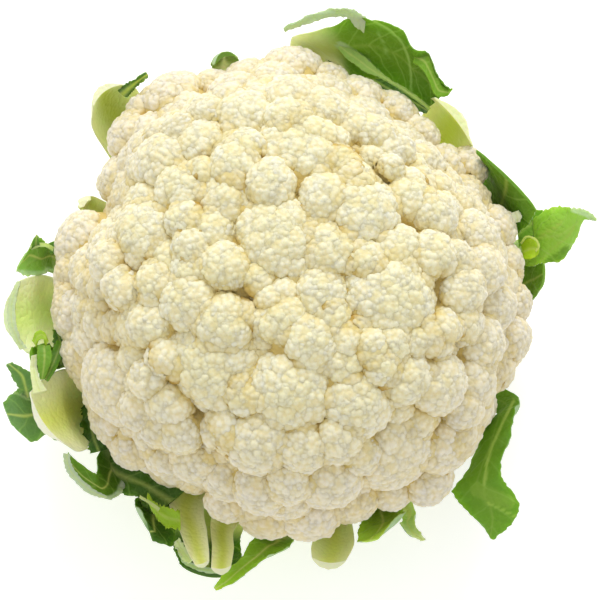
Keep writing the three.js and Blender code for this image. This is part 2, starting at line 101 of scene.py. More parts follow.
# Rings of florets on the rim: how many, how far inside the outline, height and radius
RIM_RINGS = [(27, 1, 58, 10), (25, 5, 48, 10), (21, 17, 42, 10)]
RIM_UNEVEN_PLACE = 0.3
RIM_UNEVEN_SIZE = 0.15
# The top ring rises toward the back
BACK_RIM_RISE = 8
# Florets added where the core would show: how many places are tried, over what span of height
FILL_TRIES = 420
FILL_SPAN = 1.1
FILL_RADIUS = 7.6

# The core under the florets, with ridges where branches divide on its underside
CORE_INSET = 8.5
CORE_CENTRE = np.array([0, 0, 46.0])
CORE_UNDER = 17.0
UNDER_RIDGES = 11

# Fine florets are balls made wider, and flatter along the dome's normal
FLORET_WIDER = 1.15
FLORET_FLATTER = 0.78
SQUASH = 1 / FLORET_FLATTER**2 - 1
DOME_SIZE = np.array([85.0, 85.0, 62.0])
# How softly florets run into each other
CREASE_FILL = 0.8
# Small florets in gaps: places tried, span of height, least cover of the core, radius and its
# unevenness, and how far their tops stand out of the core
GAP_TRIES = 5000
GAP_SPAN = 1.05
GAP_COVER = 2.5
GAP_RADIUS = 5.6
GAP_UNEVEN = 1.2
GAP_TOP = 6.5
# Deep clefts between branches: depth, half width in pixels, and columns and rows of their lines
CLEFTS = [
    (4.2, 7, [(98, 292), (105, 325), (108, 352)]),
    (4.0, 8, [(142, 342), (160, 372), (182, 400), (203, 425), (214, 452)]),
    (4.4, 7, [(212, 288), (238, 300), (262, 304), (300, 300)]),
    (3.6, 6, [(243, 318), (254, 334), (264, 348)]),
    (3.6, 6, [(300, 420), (322, 424), (342, 420)]),
    (3.4, 6, [(422, 412), (432, 424), (442, 430)]),
    (3.2, 6, [(448, 350), (460, 345), (474, 340)]),
    (4.0, 7, [(372, 168), (388, 176), (404, 176)]),
    (3.4, 6, [(428, 180), (442, 186), (458, 186)]),
    (3.2, 6, [(208, 150), (214, 178), (228, 190), (256, 200)]),
    (3.0, 6, [(235, 222), (242, 250), (244, 285)]),
    (3.0, 6, [(330, 222), (348, 236), (356, 262)]),
    (2.4, 6, [(345, 330), (362, 350), (372, 380), (392, 402)]),
    (3.0, 6, [(110, 225), (130, 270), (142, 300)]),
    (3.0, 6, [(300, 130), (322, 136), (352, 142), (372, 168)]),
    (3.0, 6, [(440, 268), (444, 300), (450, 345)]),
]

# Lumps: how far down a floret they go, how they crowd toward its edge, how many to its radius squared
LUMPS_WIDEST = math.radians(88)
LUMPS_POWER = 0.62
LUMPS_TO_A_SQUARE = 0.2
FEWEST_LUMPS = 7
LUMP_JITTER = 0.04
# Spacing squared times crowding where lumps stand like a honeycomb, and the limits of spacing
HONEYCOMB = 1.155
LUMP_SPACINGS = (2.6, 7.6)
# A lump's radius over its spacing at a floret's tip and edge, and how deep it sits over its radius
LUMP_FUSED = 1.3
LUMP_FREE = 0.76
LUMP_SUNK = 0.92
# Florets as near as this are neighbours, whose lumps may overlap, and lumps stay clear of the core
NEIGHBOUR_GAP = 3
LUMP_OVERLAP = 0.9
LUMP_ABOVE_CORE = 0.5
LOWEST_LUMP = 30
# The height from which florets that the photograph hides are fine too
FINE_FROM = 60
# Grains on a lump: how far down it they go, how they crowd, the area of one, and their radii
GRAINS_WIDEST = math.radians(86)
GRAINS_POWER = 0.56
FEWEST_GRAINS = 7
GRAIN_AREA = 5.0
GRAIN_RADII = (1.4, 1.75)
GRAIN_JITTER = 0.03
GRAIN_DEPTH = 0.4
# A gap narrower than this is a pit, which gets painted shade, and the rim turns grey, partly by painted
# shade, between two distances from the axis
PIT_GAP = 3.6
RIM_GREYS = (42, 88)
# Edge lengths of a lump's triangles on the seen side and on the hidden side
FINE_EDGE = 0.525
COARSE_EDGE = 0.85
# How many degrees of its ball a lump shows, and how deep in a neighbour it is cut away
CAP_WIDEST = 68
BURIED_DEPTH = 0.45
# Triangles of a piece
PIECE_LIMIT = 190000
# The bed under the lumps. Only the lowest point is left out of its ball, and it stays above the stalk.
BED_FREQUENCY = 50
BED_WIDEST = 181
BED_UNDER_LUMPS = 1.3
BED_RIDGE = 1.7
BED_BATCH = 4000
STALK_GAP = 0.45

# The stalk's cut edge, the ring of its cut face as shares of its radius, and its leaf scars
CUT_EDGE = 1.2
CUT_RING_AT = 0.78
CUT_RING_WIDTH = 0.05
CUT_RING_RISE = 0.25
SCARS = 9
SCAR_LOWEST = 7
SCAR_SPAN = 20
SCAR_STEP = 0.618
SCAR_SIZES = (3.5, 5.5)
SCAR_RISE = 0.5
SCAR_DEPTH = 0.4

# Leaves run out under the curd along one of four levels, given as distances from the axis and heights
LEVELS = [
    [(17, 24.6), (34, 24.8), (52, 28), (70, 34), (82, 43)],
    [(17, 18.2), (34, 18.6), (53, 22.2), (73, 29.2), (88, 40)],
    [(17, 11.8), (34, 12.2), (55, 16.2), (76, 24), (93, 36)],
    [(17, 5.6), (34, 6), (56, 10), (79, 19.5), (98, 32)],
]
ROOT_HALF_WIDTH = 6.0
PETIOLE_HALF_WIDTH = 8.5
ROOT_STOPS_BEFORE = 7
# Leaves clear the curd's balls by a distance and an angle, and the balls are taken in by an inset
CLEAR_OF_CURD = 0.8
CLEAR_ANGLE = 0.07
LUMP_INSET = 1.6
FLOOR_GAP = 0.4
# A leaf's section: its thin edge, and fine ridges under a rib that is thick enough
EDGE_THICKNESS = 1.1
RIDGE_HEIGHT = 0.16
RIDGE_RATE = 2.1
RIDGED_FROM = 2.2
# Lengths and heights of the waves along a leaf's edges, and how ragged the edges are
EDGE_WAVES = ((17, 0.55), (8.5, 0.35), (4.3, 0.16))
RAGGED = 0.35
NARROWEST_RIB = 0.3
STEM_RIB_WIDTH = 3.5
# Millimetres to one unit of a leaf's coordinates
MM_PER_LEAF_UNIT = 100
FOLD_HOLLOW = 0.12
FOLD_RIB_WIDTH = 0.1

# The floor's glow, the light from all round, and the key light, in metres and watts
FLOOR_SIZE = 6
FLOOR_WHITE = (0.95, 0.95, 0.95, 1)
FLOOR_GLOW = 0.32
STUDIO_LIGHT = 0.81
KEY_PLACE = (0.02, 0.92, 0.74)
KEY_AIM = (0, 0, 0.05)
KEY_SIZE = 0.6
KEY_POWER = 7.0

# Every leaf: its level, its bearing on the stalk in degrees, its hollow, its rib's thickness at the tip,
# and stations from the curd's rim out. A station is the column and row of its left edge, those of its
# right edge, and their height, or both heights.
LEAVES = {
    "leaf_top": (3, 80, 0.12, 2.4, [
        (290, 46, 334, 66, 50, 48), (296, 36, 345, 70, 60, 50), (330, 28, 350, 76, 68, 52),
        (352, 17, 362, 78, 73, 53), (375, 20, 376, 78, 74, 54), (400, 30, 393, 84, 74, 55),
        (414, 48, 408, 92, 72, 56), (428, 55, 418, 100, 70, 57), (438, 78, 428, 107, 68, 58),
        (450, 88, 438, 100, 67, 60),
    ]),
    "stub_right_top": (2, 47, 0.1, 5, [
        (428, 104, 470, 152, 46), (430, 99, 472, 147, 58), (434, 98, 470, 142, 67, 66),
    ]),
    "leaf_right_top": (1, 20, 0.06, 2, [
        (484, 178, 512, 236, 46), (481, 168, 522, 230, 56), (478, 160, 530, 221, 63, 62),
        (474, 151, 536, 211, 68, 66),
    ]),
    "leaf_right": (3, 12, -0.16, 2.4, [
        (522, 238, 522, 266, 35), (533, 221, 531, 266, 50, 46), (545, 210, 543, 263, 58, 50),
        (559, 207, 562, 260, 62, 52), (574, 208, 577, 238, 62, 57), (586, 210, 584, 220, 61, 60),
        (597, 218, 596, 221, 60),
    ]),
    "leaf_right_low": (2, -12, 0.2, 2, [
        (519, 262, 526, 304, 36), (531, 256, 532, 300, 41, 42), (541, 256, 540, 290, 44, 45),
    ]),
    "leaf_right_bottom": (3, -25, -0.12, 3, [
        (512, 392, 494, 412, 40, 38), (515, 410, 484, 424, 47, 42), (509, 438, 474, 452, 50, 44),
        (501, 462, 463, 478, 51, 45), (504, 482, 452, 490, 51, 44), (519, 502, 458, 501, 49, 45),
        (515, 520, 470, 514, 47, 46), (500, 534, 483, 527, 46, 45), (492, 540, 489, 537, 45, 44),
    ]),
    "leaf_bottom_right": (2, -60, 0.2, 2.2, [
        (400, 503, 360, 514, 42), (403, 511, 358, 530, 50, 48), (391, 524, 357, 540, 53, 51),
        (379, 538, 361, 541, 53, 52),
    ]),
    "leaf_bottom_tip": (3, -61, 0.2, 2, [
        (414, 506, 400, 510, 27), (414, 520, 400, 522, 38), (420, 532, 408, 534, 45),
        (426, 540, 421, 541, 45),
    ]),
    "stub_bottom": (1, -84, 0.3, 5, [
        (353, 528, 313, 532, 42), (354, 544, 311, 548, 50), (346, 560, 312, 557, 56),
    ]),
    "leaf_bottom": (2, -97, 0.18, 2.2, [
        (294, 540, 264, 534, 35), (286, 547, 252, 540, 43), (268, 557, 242, 556, 47),
        (248, 571, 226, 571, 49, 48), (231, 584, 218, 581, 50, 49), (216, 590, 213, 588, 48),
    ]),
    "petiole_bottom": (0, -98, 0.3, 5, [
        (235, 528, 211, 520, 40), (234, 548, 212, 545, 49), (231, 566, 211, 567, 56),
    ]),
    "petiole_bottom_left": (1, -117, 0.3, 5.5, [
        (206, 502, 169, 490, 38), (207, 530, 178, 524, 47), (209, 550, 187, 550, 53),
        (209, 560, 195, 565, 55),
    ]),
    "leaf_bottom_under": (3, -112, 0.25, 2.6, [
        (240, 540, 170, 532, 30), (242, 558, 174, 549, 37), (234, 574, 181, 563, 42),
    ]),
    "leaf_bottom_left": (2, -135, 0.2, 2.2, [
        (170, 500, 146, 486, 32), (174, 525, 136, 500, 41, 42), (172, 545, 142, 514, 47, 48),
        (153, 541, 147, 522, 48),
    ]),
    "leaf_left_bottom": (0, -140, 0.2, 3, [
        (130, 480, 100, 450, 38), (120, 494, 99, 470, 46), (108, 499, 96, 475, 50), (86, 488, 80, 463, 52),
        (66, 466, 68, 452, 53),
    ]),
    "petiole_left": (1, -152, 0.28, 7, [
        (92, 440, 78, 372, 40), (87, 449, 63, 369, 50), (77, 451, 45, 377, 56), (64, 443, 30, 392, 60),
    ]),
    "leaf_left_under": (3, -155, 0.12, 2.6, [
        (62, 440, 42, 388, 32), (48, 434, 31, 392, 39, 40), (32, 442, 18, 389, 43, 45),
        (12, 425, 3, 403, 45, 47),
    ]),
    "curl_left": (0, -173, 0.3, 2, [
        (62, 368, 60, 348, 42), (51, 371, 47, 343, 52), (41, 373, 34, 347, 60),
    ]),
    "slab_left": (2, -174, 0.3, 6, [
        (61, 346, 53, 277, 38), (45, 352, 38, 275, 48), (28, 353, 19, 281, 54), (14, 338, 8, 298, 57),
    ]),
    "leaf_left_top": (3, 167, 0.2, 2.4, [
        (52, 272, 60, 242, 40), (40, 275, 48, 244, 48, 50), (26, 276, 36, 236, 51, 55),
        (17, 272, 27, 254, 52, 54),
    ]),
    "stub_left": (1, 160, 0.2, 3, [
        (90, 216, 98, 198, 42), (86, 213, 91, 200, 52), (84, 209, 88, 201, 60),
    ]),
    "stub_left_top": (2, 137, 0.3, 5, [
        (102, 145, 140, 94, 44), (92, 126, 132, 86, 55), (94, 106, 120, 85, 64, 63),
    ]),
    "stub_top": (1, 106, 0.25, 3, [
        (212, 72, 240, 66, 46), (212, 66, 238, 59, 56), (215, 62, 235, 57, 63),
    ]),
}
# Torn or folded strips on leaves, as stations
STRIPS = {
    "leaf_top": [
        (284, 31, 286, 33, 66, 63), (303, 18, 305, 24, 72, 70), (325, 11, 327, 19, 74, 72),
        (345, 8, 346, 17, 76, 73), (356, 12, 356, 26, 76, 71), (366, 18, 364, 34, 74, 69),
    ],
    "leaf_left_under": [
        (22, 400, 34, 396, 42), (18, 388, 33, 386, 47, 46), (12, 377, 31, 373, 50, 49),
        (6, 365, 12, 363, 52),
    ],
    "stub_left_top": [
        (118, 92, 126, 98, 60, 58), (126, 84, 132, 93, 62, 60), (136, 78, 139, 85, 63, 61),
        (147, 73, 148, 75, 63, 62),
    ],
}


def linear(red, green, blue):
    """A colour from 0 to 255 as the renderer's linear values."""
    return np.array([(c / 255) ** 2.2 for c in (red, green, blue)])


CREAM = linear(242, 238, 209)
APEX = linear(238, 230, 178)
# Painted shade: the warm yellow and ochre that creases, pits and clefts between lumps are painted with
CREASE_SHADE = linear(226, 205, 124)
DEEP_CREASE_SHADE = linear(180, 142, 58)
# Partly the curd's own pinkish tone, partly painted shade where the dome turns down at its rim
RIM_TONE_AND_SHADE = linear(232, 218, 204)
# The branches under the curd are pale on their ridges, with olive painted shade in the grooves between them.
# The bed under the lumps is yellower, darkened as painted shade for the gaps it shows through.
BRANCH = linear(226, 228, 188)
BRANCH_GROOVE_SHADE = linear(150, 156, 92)
BED_TONE_AND_SHADE = linear(214, 190, 116)
STALK_CUT = linear(240, 238, 208)
STALK_RING = linear(196, 204, 132)
STALK_SKIN = linear(206, 216, 150)
STALK_SCAR = linear(214, 208, 164)
STALK_TOP = linear(224, 232, 176)

# Colours of leaves stay from 0 to 255 until they are painted
STEM = (224, 232, 176)
DARK = (62, 100, 18)
MIDDLE = (108, 152, 34)
BRIGHT = (152, 192, 54)
GLAUCOUS = (158, 186, 136)
PALE = (216, 226, 168)
LIME = (152, 188, 48)
ASHEN = (178, 194, 164)
VEIN = (170, 200, 104)

# A look goes from stem to green between two stations, counted from the rim: the blade's colour runs
# from near to tip, and a margin is the share and colour of a pale left edge. The default is a stem.
LOOK_COLOURS = ("near", "tip", "stem", "stem_deep", "under", "cut", "torn")
NEVER = (9, 10)
WHOLLY = (-2, -1)
# stem_deep colours the middle of a stem's channel: partly the stem's own lime, partly painted shade in the
# hollow
DEFAULT_LOOK = {
    "near": STEM, "tip": STEM, "green": NEVER, "stem": STEM, "stem_deep": (194, 204, 112),
    "under": GLAUCOUS, "cut": (226, 228, 188), "torn": DARK, "crinkle": 1.0, "rib_width": 1.0,
    "veined": 1.0, "lines": [],
}
LOOKS = {
    "leaf_top": {
        "near": (110, 152, 30), "tip": (84, 128, 22), "green": (1.0, 2.4), "rib_width": 0.03,
        "torn": (176, 194, 158),
    },
    "stub_right_top": {"stem": (236, 244, 176), "stem_deep": (222, 238, 96), "cut": (228, 236, 180)},
    "leaf_right_top": {
        "near": (84, 124, 26), "tip": (92, 132, 30), "green": (-1.5, -0.5), "rib_width": 0.1,
    },
    "leaf_right": {"near": (144, 190, 46), "tip": (158, 204, 82), "green": (-1.0, 0.6), "rib_width": 0.05},
    "leaf_right_low": {
        "near": (100, 140, 30), "tip": (110, 150, 34), "green": (-2.0, -1.0), "rib_width": 0.1,
    },
    "leaf_right_bottom": {
        "near": (96, 142, 28), "tip": (110, 156, 34), "green": (-3.0, -2.0), "rib_width": 0.03,
        "veined": 0.5,
    },
    "leaf_bottom_right": {
        "near": (132, 166, 42), "tip": (168, 200, 70), "green": (-3.0, -2.0), "rib_width": 0.5,
    },
    "leaf_bottom_tip": {"near": BRIGHT, "tip": (205, 218, 160), "green": (-1.0, 0.6), "rib_width": 0.5},
    "stub_bottom": {"stem_deep": (216, 226, 118)},
    "leaf_bottom": {"near": MIDDLE, "tip": (164, 206, 52), "green": (-1.0, 0.4), "rib_width": 0.6},
    "petiole_bottom": {"stem": (240, 244, 182), "stem_deep": (212, 222, 104)},
    "petiole_bottom_left": {"stem": (242, 246, 190), "stem_deep": (222, 230, 118)},
    "leaf_bottom_under": {"near": DARK, "tip": DARK, "green": (-1.0, 0.2), "rib_width": 1.0},
    "leaf_bottom_left": {"near": DARK, "tip": DARK, "green": (-1.0, 0.2), "rib_width": 0.9},
    "leaf_left_bottom": {
        "near": (70, 108, 20), "tip": MIDDLE, "green": (-1.0, 0.2), "rib_width": 0.5,
        "margin": (0.3, ASHEN),
    },
    "petiole_left": {"stem": (240, 244, 200), "stem_deep": (216, 224, 116), "cut": (246, 244, 214)},
    "leaf_left_under": {
        "near": (84, 124, 48), "tip": (112, 150, 88), "green": (-1.0, 0.2), "rib_width": 0.6,
        "torn": (104, 142, 78),
    },
    "curl_left": {"near": DARK, "tip": MIDDLE, "green": (-1.0, 0.4), "rib_width": 0.7},
    "slab_left": {"stem": (240, 248, 200), "stem_deep": (226, 244, 146), "cut": (216, 232, 176)},
    "leaf_left_top": {
        "near": (104, 150, 36), "tip": (142, 184, 82), "green": (-1.0, 0.2), "rib_width": 0.3,
        "margin": (0.25, GLAUCOUS),
    },
    "stub_left": {},
    "stub_left_top": {"stem_deep": (186, 202, 84)},
    "stub_top": {"near": (122, 150, 60), "tip": (100, 132, 44), "green": (-0.6, 0.4), "stem_deep": STEM},
}

# Small folds, curls and margins seen round the head: the leaf of each, its colour, its crinkle, its
# share of veins, and its stations
FOLDS = [
    ("leaf_top", (60, 92, 22), 0.8, 0.6, [
        (336, 42, 326, 58, 50), (352, 54, 342, 72, 50), (366, 64, 358, 82, 50), (382, 76, 376, 90, 50),
        (398, 86, 392, 98, 50), (414, 95, 408, 106, 50), (430, 107, 426, 114, 50)]),
    ("leaf_top", (146, 180, 88), 0.5, 0.0, [
        (340, 43, 338, 48, 61), (350, 47, 346, 58, 61), (361, 54, 357, 66, 61), (371, 63, 366, 72, 61),
        (382, 73, 379, 77, 61), (400, 85, 398, 88, 61), (418, 97, 416, 100, 61), (431, 108, 429, 110, 60)]),
    ("leaf_top", (112, 156, 34), 0.8, 0.6, [
        (416, 50, 413, 62, 69), (427, 53, 423, 70, 69), (435, 68, 430, 84, 68), (442, 84, 436, 96, 67),
        (453, 89, 448, 96, 66)]),
    ("leaf_left_bottom", (66, 100, 18), 1.6, 0.8, [
        (106, 444, 99, 470, 36), (124, 456, 106, 488, 39), (141, 464, 120, 494, 40),
        (156, 474, 134, 495, 41), (172, 480, 144, 506, 42), (188, 488, 154, 514, 43)]),
    ("leaf_left_bottom", ASHEN, 0.6, 0.0, [
        (70, 454, 63, 453, 57), (71, 463, 64, 464, 57), (76, 472, 68, 474, 56), (85, 482, 78, 485, 55),
        (95, 490, 89, 494, 54), (107, 496, 105, 499, 53)]),
    ("petiole_left", (58, 92, 20), 2.4, 0.6, [
        (92, 398, 82, 406, 42), (97, 410, 81, 417, 43), (100, 428, 83, 430, 43), (104, 440, 85, 442, 42),
        (108, 450, 90, 454, 40)]),
    ("curl_left", PALE, 0.3, 0.0, [
        (37, 354, 31, 356, 60), (37, 366, 30, 367, 60), (40, 379, 31, 379, 61), (47, 390, 33, 393, 62)]),
    ("curl_left", (108, 152, 44), 0.5, 0.3, [
        (50, 345, 38, 345, 60), (52, 356, 37, 357, 61), (49, 368, 38, 369, 61), (44, 379, 40, 380, 60)]),
    ("curl_left", LIME, 0.4, 0.2, [
        (32, 341, 36, 347, 60), (35, 333, 38, 341, 61), (41, 330, 42, 339, 61), (46, 334, 45, 341, 61),
        (49, 341, 46, 346, 60)]),
    ("curl_left", (66, 104, 24), 1.2, 0.6, [
        (61, 326, 53, 331, 48), (66, 338, 53, 341, 50), (67, 350, 54, 352, 50), (66, 364, 56, 366, 48)]),
    ("curl_left", (96, 140, 38), 0.4, 0.2, [
        (66, 343, 57, 340, 56), (62, 356, 52, 352, 57), (56, 369, 47, 365, 58), (48, 381, 43, 377, 59)]),
    ("leaf_left_top", (178, 204, 120), 0.2, 0.0, [
        (30, 246, 31, 250, 57), (38, 243, 38, 247, 58), (46, 243, 46, 247, 58), (54, 247, 53, 251, 56)]),
    ("leaf_left_top", (88, 128, 40), 0.2, 0.3, [
        (31, 250, 40, 248, 57), (33, 241, 39, 242, 59), (36, 235, 37, 235, 60)]),
    ("leaf_left_top", (76, 116, 34), 0.3, 0.3, [
        (47, 244, 50, 253, 54), (54, 241, 56, 253, 54), (59, 240, 60, 246, 53)]),
    ("slab_left", (190, 206, 164), 0.5, 0.0, [
        (21, 281, 17, 281, 61), (17, 295, 10, 296, 62), (15, 311, 7, 311, 62), (17, 326, 8, 327, 62),
        (21, 340, 14, 341, 61), (27, 348, 20, 350, 60)]),
    ("leaf_right", (116, 160, 48), 0.5, 0.3, [
        (515, 222, 519, 247, 49), (524, 213, 527, 241, 51), (533, 210, 536, 233, 53),
        (542, 210, 543, 226, 55)]),
    ("leaf_right", (164, 196, 36), 0.3, 0.0, [
        (521, 246, 523, 259, 54), (527, 239, 529, 259, 56), (534, 239, 535, 257, 57),
        (540, 245, 539, 254, 56)]),
    ("leaf_right", (176, 202, 84), 0.2, 0.0, [
        (520, 243, 522, 244, 56), (525, 236, 526, 238, 58), (531, 236, 531, 238, 59),
        (537, 239, 536, 241, 59), (540, 246, 538, 247, 59), (536, 252, 535, 250, 58)]),
    ("leaf_right_top", (222, 228, 184), 0.4, 0.0, [
        (519, 210, 511, 213, 61), (522, 216, 513, 219, 61), (520, 222, 515, 223, 60)]),
    ("leaf_bottom_left", LIME, 2.0, 0.4, [
        (146, 494, 148, 506, 51), (156, 503, 156, 518, 52), (168, 507, 166, 528, 52),
        (180, 512, 181, 530, 52)]),
    ("leaf_bottom_left", (176, 192, 128), 0.3, 0.0, [
        (140, 495, 139, 498, 54), (150, 501, 149, 504, 54), (160, 508, 158, 511, 54)]),
    ("leaf_bottom_under", (172, 196, 154), 0.5, 0.0, [
        (181, 545, 176, 548, 46), (188, 560, 183, 563, 46), (202, 566, 199, 571, 46),
        (220, 569, 220, 574, 46), (238, 568, 239, 573, 46)]),
    ("leaf_bottom_under", (196, 212, 150), 1.8, 0.0, [
        (180, 538, 173, 542, 50), (186, 548, 179, 553, 51), (194, 558, 187, 564, 52)]),
]

# Veins, lighter bands and a band of painted shade seen on leaves: colour, half width in pixels, columns and
# rows
VEINS_BANDS_AND_SHADE = {
    "leaf_top": [
        ((150, 184, 96), 0.9, [(372, 20), (390, 30), (402, 42), (408, 56), (411, 72), (411, 90)]),
        ((140, 176, 90), 0.7, [(378, 33), (384, 44), (388, 58)]),
        ((164, 192, 136), 3.6, [(340, 45), (352, 53), (366, 62)]),
        ((170, 196, 136), 2.2, [(366, 62), (378, 72)]),
        ((176, 198, 130), 1.0, [(378, 72), (392, 83), (410, 92), (420, 100), (430, 108)]),
    ],
    "leaf_right": [
        ((170, 196, 80), 0.9, [(537, 239), (545, 233), (553, 229), (562, 222)]),
        ((164, 192, 78), 0.9, [(541, 260), (551, 250), (560, 243), (568, 236), (574, 228)]),
        # Painted shade: a darker band where the leaf's lower lobe lies in shade under its lighter edge
        ((104, 146, 34), 4.0, [(548, 263), (558, 257), (567, 250)]),
        ((188, 212, 158), 3.4, [(574, 209), (586, 213), (596, 220)]),
    ],
    "leaf_right_bottom": [
        ((160, 190, 84), 1.2, [
            (514, 400), (503, 422), (493, 444), (487, 462), (485, 480), (484, 496), (488, 504)]),
        ((150, 184, 70), 0.9, [(488, 503), (500, 509), (514, 516)]),
        ((124, 162, 50), 7.0, [(478, 490), (492, 496), (508, 502)]),
    ],
    "leaf_left_under": [
        ((170, 194, 136), 1.0, [(12, 391), (20, 395), (30, 400)]),
    ],
}


def smooth(low, high, value):
    """A share from 0 at low to 1 at high, easing at both."""
    share = np.clip((value - low) / (high - low), 0, 1)
    return share * share * (3 - 2 * share)


def mix(a, b, share):
    """Colours between a and b by share."""
    share = np.asarray(share)[..., None]
    return a * (1 - share) + b * share


def unit_rows(vectors):
    """Vectors along the last axis, each made one long."""
    return vectors / np.linalg.norm(vectors, axis=-1)[..., None]


def bearing_of(points):
    """Bearings of points round the head's axis."""
    return np.arctan2(points[:, 1], points[:, 0])


def flat_of(points):
    """Distances of points from the head's axis."""
    return np.hypot(points[:, 0], points[:, 1])


def quads(a, b, c, d):
    """Two triangles for each row of four corners."""
    return np.concatenate([np.stack([a, b, c], 1), np.stack([a, c, d], 1)])


def sight(column, row, z):
    """The point of the line of sight through the photograph's column and row, at the height z."""
    eye = SIGHT_AIM + SIGHT_DISTANCE * SIGHT_BACK
    seen = SIGHT_AIM + SIGHT_UP * (PICTURE_MIDDLE - row) * MM_PER_PIXEL
    seen = seen + np.array([(column - PICTURE_MIDDLE) * MM_PER_PIXEL, 0, 0])
    return eye + (seen - eye) * (z - eye[2]) / (seen[2] - eye[2])


def sight_edges(stations):
    """Left and right edge points of stations."""
    return [(sight(a, b, heights[0]), sight(c, d, heights[-1])) for a, b, c, d, *heights in stations]


def picture(points):
    """The photograph's columns and rows in which points are seen."""
    offset = points - SIGHT_AIM
    scale = SIGHT_DISTANCE / (SIGHT_DISTANCE - offset @ SIGHT_BACK) / MM_PER_PIXEL
    return np.stack([PICTURE_MIDDLE + offset[:, 0] * scale, PICTURE_MIDDLE - (offset @ SIGHT_UP) * scale], 1)


def line_distance(seen, line):
    """How many pixels places in the picture are from a line of columns and rows."""
    line = np.array(line, float)
    nearest = np.full(len(seen), np.inf)
    for one, two in zip(line[:-1], line[1:]):
        share = np.clip((seen - one) @ (two - one) / ((two - one) ** 2).sum(), 0, 1)
        nearest = np.minimum(nearest, np.linalg.norm(seen - one - share[:, None] * (two - one), axis=1))
    return nearest


def outline(bearing):
    """The curd's outline radius at bearings, between the stated radii."""
    count = len(HEAD_OUTLINE)
    place = (np.asarray(bearing, float) / (2 * math.pi) + 1) * count
    share = (1 - np.cos(math.pi * (place % 1))) / 2
    low = HEAD_OUTLINE[np.floor(place).astype(int) % count]
    high = HEAD_OUTLINE[np.ceil(place).astype(int) % count]
    return low + (high - low) * share


def rim_trim(bearing):
    """How far the fine florets stop inside the outline at bearings."""
    count = len(RIM_TRIM)
    place = (bearing / (2 * math.pi) + 1) * count
    return np.interp(place % count, np.arange(count + 1), np.append(RIM_TRIM, RIM_TRIM[0]))


def trimmed(points):
    """Points of the curd drawn in near its rim by the trim."""
    bearing = bearing_of(points)
    flat = np.maximum(flat_of(points), 1e-9)
    drawn = flat - rim_trim(bearing) * smooth(0.55, 0.95, flat / outline(bearing))
    return points * np.stack([drawn / flat, drawn / flat, np.ones(len(points))], 1)


def core_reach(directions):
    """How far the core under the florets reaches from its centre, along unit directions."""
    bearing = bearing_of(directions)
    side = outline(bearing) - CORE_INSET
    ridge = 1 + 0.1 * np.cos(UNDER_RIDGES * bearing)
    top = WIDEST_Z + CROWN_RISE - CORE_INSET - CORE_CENTRE[2]
    half = np.where(directions[:, 2] > 0, top, CORE_UNDER * ridge)
    return 1 / np.hypot(flat_of(directions) / side, directions[:, 2] / half)


def ball_reach(directions, offset, radii):
    """How far balls at offsets from the core's centre reach along unit directions, or 0."""
    along = directions @ offset.T
    inside = radii**2 - (offset**2).sum(1) + along**2
    hit = (inside > 0) & (along > 0)
    return np.where(hit, along + np.sqrt(np.maximum(inside, 0)), 0).max(1)


def spiral_direction(k, count, span):
    """One of count unit directions in a growth spiral that starts at +Z and goes down over a span."""
    up = 1 - span * (k + 0.5) / count
    flat = math.sqrt(1 - up * up)
    turn = GOLDEN_ANGLE * k
    return np.array([flat * math.cos(turn), flat * math.sin(turn), up])


def floret_balls():
    """Centres and radii of the florets' balls, those that the photograph shows first."""
    centres = []
    radii = []
    for i, (column, row, pixels) in enumerate(FLORETS):
        radius = pixels * MM_PER_PIXEL * FLORET_SWELL
        centre = sight(column, row, WIDEST_Z)
        for _ in range(HEIGHT_ROUNDS):
            reach = outline(math.atan2(centre[1], centre[0])) - radius
            share = min(1.0, math.hypot(centre[0], centre[1]) / reach)
            rise = (CROWN_RISE - radius) * math.sqrt(1 - share**SQUARENESS)
            centre = sight(column, row, WIDEST_Z + rise + FLORET_LIFT * math.sin(2.4 * i))
        centres.append(centre)
        radii.append(radius)
    for count, inset, z, radius in RIM_RINGS:
        for i in range(count):
            bearing = 2 * math.pi * (i + RIM_UNEVEN_PLACE * math.sin(3.1 * i)) / count
            size = radius * (1 + RIM_UNEVEN_SIZE * math.sin(1.7 * i))
            reach = outline(bearing) - inset - size
            level = z + (BACK_RIM_RISE * max(0, math.sin(bearing)) if z == WIDEST_Z else 0)
            centres.append(np.array([reach * math.cos(bearing), reach * math.sin(bearing), level]))
            radii.append(size)
    for k in range(FILL_TRIES):
        direction = spiral_direction(k, FILL_TRIES, FILL_SPAN)
        core = core_reach(direction[None])[0]
        if ball_reach(direction[None], np.array(centres) - CORE_CENTRE, np.array(radii))[0] > core:
            continue
        centres.append(direction * (core + CORE_INSET - FILL_RADIUS) + CORE_CENTRE)
        radii.append(FILL_RADIUS)
    return np.array(centres), np.array(radii)


def floret_reach(directions, centres, radii, axes):
    """How far each flattened floret reaches from the core's centre along each direction, or 0."""
    start = CORE_CENTRE - centres
    start_rise = (start * axes).sum(1)
    rise = directions @ axes.T
    a = 1 + SQUASH * rise**2
    b = directions @ start.T + SQUASH * rise * start_rise
    c = (start**2).sum(1) + SQUASH * start_rise**2 - radii**2
    inside = b * b - a * c
    return np.where(inside > 0, (-b + np.sqrt(np.maximum(inside, 0))) / a, 0)


